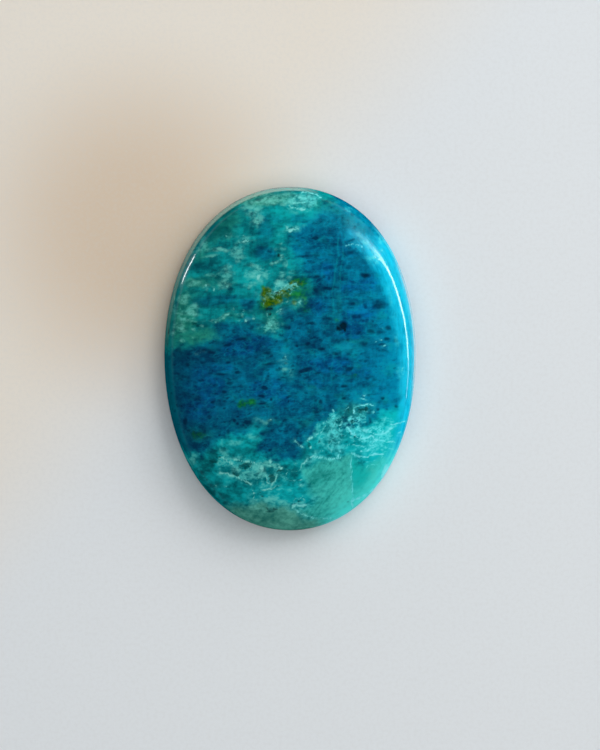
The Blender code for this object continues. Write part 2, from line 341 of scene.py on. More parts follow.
# Dark dashes of shattuckite needles in rows, then the few nearly black ones.
DARK_FLECKS = [
    (2.2, 10.5, 0.55, 0.28, 0, 0.9), (1.2, 10.45, 0.35, 0.2, 0, 0.6), (0.7, 10.3, 0.4, 0.2, 0, 0.5),
    (-2.6, 9.8, 1.0, 0.35, 0, 0.5), (-1.85, 9.4, 0.4, 0.25, 0, 0.6), (1.3, 8.9, 1.3, 0.22, 6, 0.65),
    (1.2, 8.3, 0.6, 0.18, 8, 0.6), (2.0, 8.4, 0.5, 0.25, 10, 0.5), (3.0, 7.8, 0.5, 0.3, 0, 0.5),
    (3.6, 7.9, 0.5, 0.4, 0, 0.5), (2.3, 7.1, 0.6, 0.28, 0, 0.7), (2.9, 7.15, 0.3, 0.28, 0, 0.7),
    (3.4, 7.1, 0.25, 0.35, 0, 0.6), (1.0, 7.2, 0.4, 0.25, 0, 0.5), (1.7, 7.6, 0.4, 0.25, 0, 0.4),
    (2.3, 5.9, 0.5, 0.35, -20, 0.75), (3.3, 6.1, 1.0, 0.3, 0, 0.95), (2.65, 11.9, 0.25, 0.2, 0, 0.6),
    (3.1, 12.4, 0.3, 0.2, 0, 0.4), (5.1, 7.95, 0.5, 0.35, 0, 0.6), (6.6, 7.3, 0.7, 0.42, -10, 1.0),
    (5.4, 10.3, 0.8, 0.2, 0, 0.6), (5.3, 9.3, 0.6, 0.35, 0, 0.5), (6.3, 9.95, 0.35, 0.15, -30, 0.6),
    (5.3, 8.7, 0.6, 0.25, 0, 0.45), (4.4, 5.6, 0.5, 0.28, 0, 0.5), (5.3, 5.75, 0.4, 0.2, 0, 0.45),
    (5.4, 4.8, 0.5, 0.3, 15, 0.6), (6.6, 4.5, 0.35, 0.5, 0, 0.7), (7.8, 4.6, 1.1, 0.8, 0, 0.75),
    (5.9, 3.7, 1.1, 0.4, 0, 0.65), (6.4, 3.3, 0.4, 0.28, 0, 0.55), (4.8, 3.7, 0.3, 0.3, 0, 0.45),
    (6.1, 2.2, 0.6, 0.22, 10, 0.7), (7.1, 2.3, 0.7, 0.35, -10, 0.65), (7.9, 2.3, 0.7, 0.45, 0, 0.6),
    (8.6, 2.65, 0.6, 0.35, -20, 0.7), (8.5, 1.7, 0.5, 0.28, 10, 0.85), (8.0, 1.2, 0.6, 0.28, 20, 0.7),
    (9.2, 1.5, 0.5, 0.4, 0, 0.5), (8.4, 0.6, 0.4, 0.25, 0, 0.5), (6.4, 1.2, 0.8, 0.5, 0, 0.65),
    (5.1, 1.6, 0.35, 0.35, 0, 0.7), (4.6, 1.7, 0.3, 0.25, 0, 0.5), (3.9, 0.35, 0.6, 0.32, 0, 0.65),
    (4.3, 0.4, 0.2, 0.35, 0, 0.6), (5.1, 0.35, 0.3, 0.25, 0, 0.5), (4.8, -0.15, 0.8, 0.12, 5, 0.6),
    (3.1, -0.6, 0.4, 0.28, 0, 0.6), (5.2, -1.0, 0.7, 0.3, 25, 0.85), (4.7, -1.45, 0.35, 0.2, 0, 0.6),
    (6.6, -0.3, 0.3, 0.25, 0, 0.5), (6.8, -1.4, 0.4, 0.2, 0, 0.4), (7.3, -1.9, 0.45, 0.28, 10, 0.6),
    (6.7, -1.8, 0.3, 0.35, 0, 0.5), (4.7, -2.5, 0.55, 0.3, 0, 0.9), (6.4, -2.4, 0.3, 0.45, 0, 0.5),
    (8.1, -3.55, 0.3, 0.25, 0, 0.7), (7.8, -3.9, 0.45, 0.18, 15, 0.5), (9.4, -4.2, 0.28, 0.3, 0, 0.7),
    (7.7, -4.5, 0.35, 0.28, 0, 0.65), (8.5, -4.5, 0.25, 0.2, 0, 0.5), (6.9, -4.8, 0.4, 0.3, 0, 0.6),
    (7.0, -5.5, 0.3, 0.5, 0, 0.6), (5.3, -4.1, 0.4, 0.4, 0, 0.55), (4.8, -3.6, 0.35, 0.22, 0, 0.7),
    (4.1, -3.6, 0.35, 0.2, 0, 0.5), (1.8, 3.05, 0.9, 0.32, 0, 0.9), (-0.4, 2.85, 1.0, 0.35, 0, 0.7),
    (0.0, 2.8, 0.3, 0.3, 0, 0.85), (3.3, 3.4, 0.9, 0.25, 0, 0.65), (1.4, 3.75, 0.5, 0.22, 0, 0.4),
    (-2.8, 3.0, 0.45, 0.25, 0, 0.5), (-3.5, 3.9, 0.6, 0.4, 0, 0.5), (1.6, 1.25, 0.42, 0.3, 0, 0.85),
    (1.7, 2.3, 0.45, 0.22, 0, 0.5), (3.0, 2.2, 0.28, 0.22, 0, 0.6), (0.6, 1.1, 0.32, 0.3, 0, 0.7),
    (-0.4, 1.6, 0.32, 0.35, 0, 0.5), (0.3, 1.6, 0.4, 0.35, 0, 0.4), (2.7, 0.85, 0.6, 0.32, 0, 0.9),
    (0.1, 0.75, 0.5, 0.25, 0, 0.6), (-2.4, 1.4, 1.0, 0.4, 0, 0.5), (-2.0, 0.5, 0.6, 0.3, 0, 0.6),
    (-3.9, 1.0, 0.4, 0.4, 0, 0.65), (-3.0, 0.5, 0.4, 0.25, 0, 0.5), (-3.8, 0.3, 0.4, 0.3, 0, 0.4),
    (-1.8, -0.45, 1.2, 0.22, 3, 0.6), (1.3, -1.05, 1.1, 0.32, 12, 0.95), (0.6, -0.5, 0.25, 0.25, 0, 0.5),
    (3.0, -0.6, 0.4, 0.2, 10, 0.6), (2.4, -1.25, 0.5, 0.22, 10, 0.65), (1.5, -1.7, 0.8, 0.22, 10, 0.6),
    (-1.1, -1.05, 0.35, 0.22, 0, 0.6), (-1.9, -1.6, 0.25, 0.3, 0, 0.6), (0.3, -0.95, 0.4, 0.12, 0, 0.6),
    (-3.2, -1.2, 0.5, 0.2, 0, 0.4), (-0.9, -1.9, 0.6, 0.18, 0, 0.6), (2.2, -2.2, 0.4, 0.3, 0, 0.5),
    (-3.0, -2.2, 0.35, 0.2, 0, 0.5), (-5.4, 1.2, 0.7, 0.26, 12, 0.95), (-4.3, 1.7, 0.85, 0.2, 10, 0.95),
    (-6.9, 0.55, 0.6, 0.2, -8, 0.95), (-7.5, 0.75, 0.8, 0.18, 0, 0.7), (-8.4, 0.7, 1.0, 0.16, 8, 0.5),
    (-6.0, 0.45, 0.4, 0.18, 0, 0.5), (-3.4, 5.0, 0.38, 0.25, 0, 0.85), (-4.8, 5.4, 0.35, 0.4, 0, 0.5),
    (-3.9, 4.7, 0.7, 0.3, 0, 0.5), (-9.0, -0.55, 0.35, 0.28, 0, 0.75), (-7.6, -0.3, 0.5, 0.3, 0, 0.6),
    (-5.5, -0.35, 0.4, 0.22, 0, 0.7), (-4.2, -0.5, 0.5, 0.3, 0, 0.45), (-6.1, -1.4, 1.0, 0.25, 4, 0.7),
    (-4.6, -1.25, 0.6, 0.25, 0, 0.85), (-8.4, -2.0, 0.4, 0.25, 0, 0.5), (-5.3, -2.2, 0.5, 0.22, 8, 0.7),
    (-6.6, -2.35, 0.5, 0.3, 0, 0.6), (-7.6, -1.5, 0.4, 0.25, 0, 0.4), (-5.8, -2.85, 0.38, 0.3, 0, 0.8),
    (-8.2, -3.5, 0.9, 0.5, 0, 0.55), (-6.8, -3.85, 0.38, 0.18, 10, 0.8), (-5.7, -4.3, 0.25, 0.18, 0, 0.7),
    (-6.1, -3.7, 0.3, 0.16, 0, 0.5), (-7.2, -4.7, 0.4, 0.25, 0, 0.4), (-2.3, -2.65, 0.42, 0.36, 0, 1.0),
    (-2.5, -3.35, 0.5, 0.25, 0, 0.9), (-1.7, -3.6, 0.22, 0.22, 0, 0.8), (-2.4, -3.95, 0.55, 0.25, 15, 0.9),
    (-0.1, -3.4, 0.6, 0.22, 20, 0.75), (-0.15, -3.8, 0.22, 0.25, 0, 0.8), (0.4, -3.7, 0.2, 0.2, 0, 0.6),
    (-0.5, -2.4, 0.4, 0.2, 0, 0.4), (2.3, -3.8, 0.35, 0.22, 0, 0.6), (2.75, -3.85, 0.28, 0.35, 0, 0.8),
    (2.2, -4.75, 0.55, 0.32, 0, 0.9), (0.5, -4.6, 0.35, 0.3, 0, 0.4), (3.3, -3.6, 0.35, 0.7, 0, 0.5),
    (3.0, -2.7, 0.5, 0.22, 0, 0.5), (-4.6, -5.05, 0.32, 0.16, 20, 0.85), (-4.85, -5.4, 0.28, 0.22, 0, 0.9),
    (-4.6, -5.65, 0.28, 0.2, 0, 0.8), (-3.7, -5.55, 0.62, 0.36, -5, 1.0), (-5.7, -5.6, 0.22, 0.2, 0, 0.6),
    (-9.15, -5.5, 0.32, 0.65, 0, 0.9), (-8.9, -6.3, 0.35, 0.22, 0, 0.6), (-7.1, -5.2, 0.4, 0.18, 0, 0.6),
    (-2.9, -6.0, 0.5, 0.22, 0, 0.7), (-5.4, -6.4, 0.3, 0.5, 0, 0.5), (-0.2, -5.95, 0.5, 0.2, 60, 0.6),
    (-0.4, -6.4, 0.5, 0.3, 0, 0.6), (0.7, -6.6, 0.26, 0.28, 0, 0.85), (-2.4, -6.5, 0.3, 0.4, 0, 0.5),
    (-1.8, -8.1, 0.32, 0.25, 0, 0.8), (-2.2, -8.3, 0.25, 0.2, 0, 0.6), (-0.9, -7.75, 0.8, 0.1, 3, 0.6),
    (-1.3, -5.2, 0.6, 0.3, 0, 0.5), (1.2, -8.3, 0.4, 0.4, 0, 0.5), (-8.2, -6.6, 1.2, 0.55, 0, 0.6),
]
BLACK_SPOTS = [
    (4.72, 2.88, 0.80, 0.66, 8, 1.0), (4.42, 2.66, 0.66, 0.60, 20, 0.85), (4.86, 2.5, 0.3, 0.5, 0, 0.8),
    (-1.0, 9.05, 0.40, 0.34, 20, 0.8), (6.65, 7.28, 0.5, 0.30, -10, 0.5), (-1.85, 4.35, 0.75, 0.34, 0, 0.8),
    (-1.75, 3.85, 0.36, 0.3, 0, 0.75), (-1.3, 5.75, 0.7, 0.3, -20, 0.6), (-2.8, 4.9, 0.36, 0.24, 0, 0.6),
    (-8.15, 2.9, 0.34, 0.38, 0, 0.6), (-10.7, 2.5, 0.2, 0.8, 0, 0.6), (6.5, -4.4, 0.7, 0.4, 10, 0.5),
]
# Dark green gaps between the white grains.
DARK_GAPS = [
    (-3.9, -9.35, 1.1, 0.55, 10, 1.0), (-4.75, -10.05, 0.75, 0.4, 0, 1.0), (-1.62, -10.5, 0.5, 1.0, -6, 1.0),
    (-0.75, -9.9, 1.2, 0.26, 4, 1.0), (-3.95, -10.85, 0.7, 0.26, -35, 0.9), (-2.5, -11.85, 0.9, 0.6, 20, 0.7),
    (-1.75, -13.25, 1.3, 0.5, -5, 0.8), (-6.7, -9.0, 0.8, 0.4, 0, 1.0), (-6.3, -8.7, 0.6, 0.2, -12, 0.8),
    (5.6, -5.6, 0.8, 0.4, 0, 1.0), (5.7, -6.95, 0.5, 0.5, 0, 0.8), (6.5, -4.5, 1.2, 0.6, 10, 0.8),
    (5.0, -4.6, 0.5, 1.0, 0, 0.6), (1.7, -7.6, 0.8, 0.7, 20, 0.7), (3.4, -7.3, 0.4, 0.6, 0, 0.6),
    (4.6, -6.9, 0.5, 0.9, 0, 0.6), (2.6, -7.2, 0.5, 0.4, 0, 0.5), (7.0, -7.15, 0.9, 0.3, 5, 0.5),
    (-3.0, -10.9, 0.5, 0.4, 0, 0.6), (-5.6, -9.4, 0.5, 0.3, 0, 0.6), (-7.3, 6.9, 1.0, 0.4, 0, 0.5),
    (-7.2, 6.35, 0.7, 0.25, 0, 0.6), (-8.4, 3.0, 0.8, 0.5, 0, 0.6), (-2.35, 7.9, 0.5, 0.5, 0, 0.5),
    (-0.3, 8.95, 0.4, 0.35, 0, 0.5), (-6.0, 7.6, 0.6, 0.3, 0, 0.5), (0.8, -12.45, 0.6, 0.3, 0, 0.7),
    (-8.1, -6.5, 1.2, 0.5, 0, 0.5), (-9.4, 4.4, 0.6, 0.3, 0, 0.5), (5.2, -12.6, 0.25, 0.3, 0, 0.7),
]
# Pale mottling: quartz and chrysocolla grains that cloud the ground without covering it. Near the
# window's image at the upper right they are partly painted highlight.
PALE_CLOUDS = [
    (-2.0, 13.95, 4.4, 1.0, 6, 0.9), (-0.4, 13.7, 1.4, 0.8, 0, 0.7), (-3.3, 13.0, 1.6, 1.2, 0, 0.75),
    (-2.95, 12.2, 1.0, 0.9, 20, 0.8), (-5.6, 12.85, 0.9, 0.3, 20, 0.5), (1.2, 13.9, 2.2, 1.3, 15, 1.0),
    (0.5, 12.7, 0.8, 0.4, 0, 0.4), (-7.8, 10.0, 1.4, 0.8, 60, 0.6), (-8.5, 9.7, 1.2, 0.5, 60, 0.6),
    (-7.2, 9.6, 1.0, 0.5, 0, 0.6), (-6.1, 9.55, 2.0, 0.42, -4, 0.85), (-6.9, 8.95, 1.3, 0.3, 0, 0.65),
    (-4.6, 9.4, 1.3, 1.2, 20, 0.6), (-4.45, 8.75, 0.9, 0.6, 30, 0.8), (-4.0, 10.35, 1.1, 0.8, 0, 0.6),
    (-5.6, 7.8, 1.2, 0.9, 10, 0.65), (-5.3, 7.3, 0.9, 0.7, 0, 0.7), (-5.8, 6.6, 1.2, 1.0, 0, 0.75),
    (-7.0, 7.35, 1.0, 0.3, 0, 0.45), (-8.6, 6.7, 1.7, 0.6, 0, 0.8), (-7.5, 6.4, 1.0, 0.5, 0, 0.6),
    (-9.3, 5.3, 0.9, 1.1, 0, 0.7), (-8.4, 4.4, 1.0, 0.7, 0, 0.65), (-8.6, 4.0, 1.2, 0.28, -5, 0.9),
    (-9.5, 3.9, 1.5, 0.25, 0, 0.7), (-9.0, 3.4, 2.0, 0.24, -5, 0.7), (-9.7, 2.9, 0.9, 0.8, -30, 0.75),
    (-9.4, 2.45, 0.7, 0.4, 0, 0.85), (-10.3, 2.3, 0.6, 0.5, 0, 0.6), (-8.6, 2.05, 0.9, 0.2, 0, 0.6),
    (-9.5, 1.55, 0.5, 0.25, 0, 0.65), (-8.5, 2.6, 0.4, 0.3, 0, 0.7), (-7.75, 2.85, 0.4, 0.3, 0, 0.5),
    (-10.3, 5.0, 0.6, 2.4, -8, 0.55), (-5.55, 3.72, 0.8, 0.32, 15, 0.85), (-6.7, 3.55, 1.4, 0.3, 12, 0.45),
    (-3.3, 8.25, 1.3, 0.3, -5, 0.75), (-3.0, 7.9, 0.8, 0.5, 0, 0.85), (-3.3, 7.3, 1.0, 0.9, 0, 0.7),
    (-2.7, 7.0, 0.6, 0.9, 0, 0.8), (-2.3, 7.2, 0.5, 0.6, 0, 0.6), (-3.6, 6.4, 1.0, 0.5, 0, 0.75),
    (-1.6, 8.3, 0.5, 0.35, 30, 0.75), (-1.0, 8.5, 0.9, 0.26, 20, 0.85), (-0.6, 9.0, 0.5, 0.45, 0, 0.8),
    (-0.4, 8.3, 0.5, 0.8, 0, 0.7), (-0.6, 9.6, 0.7, 0.5, 0, 0.5), (-0.75, 10.1, 0.4, 0.22, 0, 0.7),
    (-1.2, 9.7, 0.4, 0.3, 0, 0.5), (0.2, 7.45, 0.8, 0.5, 0, 0.6), (-0.7, 7.3, 0.6, 0.6, 0, 0.65),
    (-1.0, 6.5, 0.9, 0.7, 30, 0.85), (-0.4, 6.45, 0.6, 0.8, 0, 0.85), (0.0, 6.9, 0.6, 0.5, 0, 0.6),
    (-1.7, 2.95, 1.0, 0.8, 20, 0.75), (-1.3, 2.5, 0.7, 0.4, 30, 0.8), (-1.0, 3.1, 1.2, 0.2, 0, 0.6),
    (-4.1, 3.8, 0.6, 0.2, -50, 0.65), (-0.5, -0.1, 0.9, 1.2, 0, 0.35), (-0.4, -0.85, 0.4, 0.35, 0, 0.55),
    (-2.5, -5.5, 1.6, 0.4, 0, 0.4), (-3.3, -6.8, 1.2, 0.6, 0, 0.5), (-5.9, -8.1, 0.9, 0.8, 30, 0.5),
    (-5.0, -7.4, 1.6, 0.5, 10, 0.6), (-6.0, -7.4, 0.5, 0.6, 0, 0.5), (-8.6, -8.9, 1.4, 0.6, 50, 0.6),
    (-4.8, -9.65, 0.9, 0.6, 0, 0.75), (-3.8, -10.3, 1.6, 0.9, -10, 0.5), (-3.0, -9.35, 1.4, 0.6, 15, 0.6),
    (-1.7, -9.35, 1.6, 0.45, -8, 0.85), (-2.5, -9.9, 0.9, 1.1, 10, 0.95), (-1.2, -10.3, 0.7, 0.7, 0, 0.5),
    (-1.8, -12.4, 1.4, 0.6, 5, 0.7), (-0.7, -12.6, 0.8, 0.6, 0, 0.7), (-3.2, -12.4, 0.8, 0.4, 0, 0.6),
    (-0.3, -13.1, 0.6, 0.6, 0, 0.6), (-2.9, -13.2, 1.8, 0.9, 0, 0.5), (0.9, -11.05, 0.6, 0.3, 0, 0.6),
    (2.2, -12.3, 1.0, 0.5, 20, 0.55), (0.8, -12.85, 1.4, 0.4, 5, 0.8), (7.0, -11.9, 1.6, 0.5, 35, 0.8),
    (3.5, -6.0, 0.9, 1.2, 0, 0.5),
    (3.6, -7.0, 1.0, 1.2, 0, 0.7), (4.3, -8.0, 0.9, 0.9, 0, 0.7), (2.4, -8.4, 0.9, 0.5, 40, 0.75),
    (2.3, -6.5, 1.0, 0.7, 40, 0.6), (1.8, -8.9, 1.4, 0.4, 25, 0.6), (5.3, -5.3, 1.0, 0.5, 15, 0.8),
    (5.5, -6.4, 1.1, 0.7, -35, 0.85), (6.4, -6.5, 1.4, 0.5, 0, 0.7), (8.6, -6.3, 1.0, 0.5, 35, 0.8),
    (7.6, -7.0, 2.4, 0.7, -10, 0.5), (7.2, -8.2, 3.0, 0.8, 0, 0.4), (4.2, -5.2, 0.5, 0.5, 0, 0.5),
    # Those at (6.2 to 8.5, 8.2 to 10.6) lie along the window's image and are partly painted highlight.
    (7.7, 8.7, 0.9, 0.8, 20, 0.7), (7.2, 9.4, 0.7, 1.2, 30, 0.7), (6.7, 10.0, 0.6, 0.8, 30, 0.6),
    (7.9, 9.5, 0.6, 0.4, 0, 0.5), (5.2, 13.1, 0.7, 0.3, -30, 0.5), (9.2, 3.6, 0.5, 0.6, 0, 0.3),
    (8.0, 10.3, 0.7, 0.5, -40, 0.7), (6.2, 10.6, 1.4, 0.5, -50, 0.35), (7.2, 8.6, 1.2, 0.7, -20, 0.8),
    (8.5, 8.2, 1.4, 0.5, -60, 0.5), (8.7, 5.5, 0.5, 2.4, 6, 0.4), (9.3, 1.5, 0.5, 2.6, 2, 0.35),
    (9.6, -1.2, 0.5, 1.6, 0, 0.4), (5.4, 12.0, 1.2, 0.4, -45, 0.25), (9.3, 6.2, 0.5, 1.6, 20, 0.5),
]
# White specks and blots, where quartz comes to the surface. The long one on the lower right rim is a
# painted glint, and the three along the window's image at the upper right are partly painted highlight.
WHITE_SPECKS = [
    (0.2, 11.3, 0.9, 0.25, 20, 0.95), (0.1, 11.15, 0.4, 0.22, 0, 1.0), (0.65, 11.5, 0.4, 0.3, 30, 0.85),
    (-0.2, 11.4, 0.2, 0.4, 0, 0.8), (-4.0, 10.22, 0.75, 0.25, 5, 0.95), (-4.05, 10.75, 0.7, 0.14, 0, 0.6),
    (-3.0, 11.85, 0.4, 0.3, 0, 0.8), (-5.5, 10.85, 0.35, 0.16, 5, 0.85), (-3.3, 13.15, 0.2, 0.15, 0, 0.7),
    (-7.4, 6.35, 0.25, 0.26, 0, 1.0), (-6.7, 6.1, 0.2, 0.2, 0, 0.95), (-5.7, 6.25, 0.4, 0.3, 0, 0.6),
    (-2.8, 7.05, 0.2, 0.5, -25, 0.95), (-3.0, 7.9, 0.45, 0.3, 0, 0.7), (-1.0, 8.5, 0.5, 0.16, 20, 0.7),
    (-0.7, 8.85, 0.25, 0.3, 0, 0.7), (-0.36, 6.35, 0.14, 0.5, 5, 0.9), (-1.15, 6.45, 0.5, 0.3, 30, 0.6),
    (-0.9, 5.75, 0.6, 0.14, -20, 0.8), (-0.95, 4.15, 0.4, 0.18, -20, 0.85), (0.9, 4.9, 0.3, 0.32, 0, 0.85),
    (-1.95, 3.7, 0.16, 0.4, 0, 0.85), (-1.55, 2.9, 0.4, 0.2, 20, 0.95), (-1.25, 2.45, 0.28, 0.2, 30, 0.85),
    (-3.75, 3.3, 0.22, 0.2, 0, 0.9), (-3.2, 3.5, 0.2, 0.3, 0, 0.8), (-5.45, 3.8, 0.3, 0.2, 0, 0.8),
    (-5.85, 3.68, 0.16, 0.2, 0, 0.7), (-6.15, 3.4, 0.16, 0.14, 0, 0.75), (-6.55, 3.24, 0.2, 0.2, 0, 0.8),
    (-6.85, 3.12, 0.12, 0.12, 0, 0.6), (-5.0, 4.4, 0.2, 0.4, 0, 0.5), (-8.55, 3.98, 0.7, 0.13, -5, 0.7),
    (-9.45, 2.5, 0.35, 0.2, 0, 0.6), (-8.4, 2.6, 0.2, 0.2, 0, 0.6), (-7.93, 0.55, 0.36, 0.24, 20, 0.55),
    (-0.33, 0.15, 0.2, 0.3, 0, 0.6), (-0.33, -0.12, 0.22, 0.2, 0, 0.55), (0.0, -1.25, 0.2, 0.6, 4, 0.5),
    (-1.65, -5.4, 0.3, 0.2, -20, 0.6), (0.55, -9.2, 0.2, 0.2, 0, 0.8), (0.75, -7.52, 0.32, 0.16, -20, 0.7),
    (1.62, -7.12, 0.28, 0.3, 0, 0.95), (1.8, -6.92, 0.34, 0.2, 0, 1.0), (1.9, -7.95, 0.2, 0.2, 0, 0.9),
    (2.3, -8.45, 0.35, 0.2, 40, 0.7), (-1.7, -9.1, 0.26, 0.3, 0, 0.95), (-0.85, -9.6, 0.4, 0.2, -20, 0.9),
    (-1.0, -9.3, 0.18, 0.2, 0, 0.7), (8.28, 1.07, 0.3, 0.28, 20, 0.8), (8.0, 1.58, 0.32, 0.18, -20, 0.65),
    (7.55, 1.35, 0.25, 0.2, 0, 0.7), (8.2, 2.65, 0.3, 0.16, 0, 0.5), (3.8, -4.65, 0.14, 0.36, 5, 0.9),
    (6.55, -3.3, 0.26, 0.18, 0, 0.85), (6.5, -3.62, 0.4, 0.1, 0, 0.85), (5.68, -4.6, 0.18, 0.4, 15, 1.0),
    (5.8, -4.85, 0.16, 0.2, 0, 0.8), (5.4, -5.18, 0.36, 0.18, 20, 1.0), (5.1, -5.42, 0.26, 0.14, 20, 0.95),
    (8.15, -5.45, 0.3, 0.18, 10, 0.8), (7.3, -4.7, 0.25, 0.2, 20, 0.65), (0.3, -12.92, 0.35, 0.28, 0, 1.0),
    (1.25, -12.85, 0.4, 0.16, 10, 0.9), (0.9, -11.05, 0.36, 0.18, 0, 0.7), (1.2, -12.02, 0.2, 0.14, 0, 0.7),
    (-4.85, -9.7, 0.5, 0.3, 0, 0.55), (-2.5, -9.75, 0.4, 0.6, 10, 0.8), (4.2, -7.8, 0.3, 0.14, 0, 0.8),
    (4.25, -8.25, 0.26, 0.2, 30, 0.7), (3.2, -5.6, 0.2, 0.2, 0, 0.6), (3.6, -5.55, 0.24, 0.14, 0, 0.6),
    (3.3, -6.0, 0.2, 0.16, 0, 0.6), (3.85, -6.3, 0.16, 0.24, 0, 0.5), (8.7, -6.3, 0.5, 0.26, 40, 0.8),
    (5.2, -6.2, 0.36, 0.3, -40, 0.8), (5.6, -6.6, 0.36, 0.26, -30, 0.8), (-6.5, -11.15, 0.2, 0.16, 0, 0.6),
    # The first below is a painted glint on the lower right rim.
    (8.35, -9.95, 1.3, 0.44, 68, 1.3), (-1.05, 6.3, 0.9, 0.34, 20, 0.55), (-0.35, 4.95, 0.5, 0.3, 0, 0.5),
    (0.93, 4.9, 0.5, 0.4, 10, 0.7), (0.55, 4.8, 0.4, 0.4, 0, 0.5), (-0.35, 6.5, 0.3, 0.5, 0, 0.6),
    # These three lie along the window's image and are partly painted highlight over quartz.
    (7.6, 8.7, 1.0, 0.55, -35, 0.62), (7.95, 9.5, 0.4, 0.32, 0, 0.6), (7.25, 8.35, 0.5, 0.2, 0, 0.6),
    (9.12, 4.05, 0.5, 0.16, 0, 0.4), (9.05, 3.7, 0.4, 0.14, 0, 0.35), (9.9, -1.1, 0.3, 0.7, 0, 0.5),
]
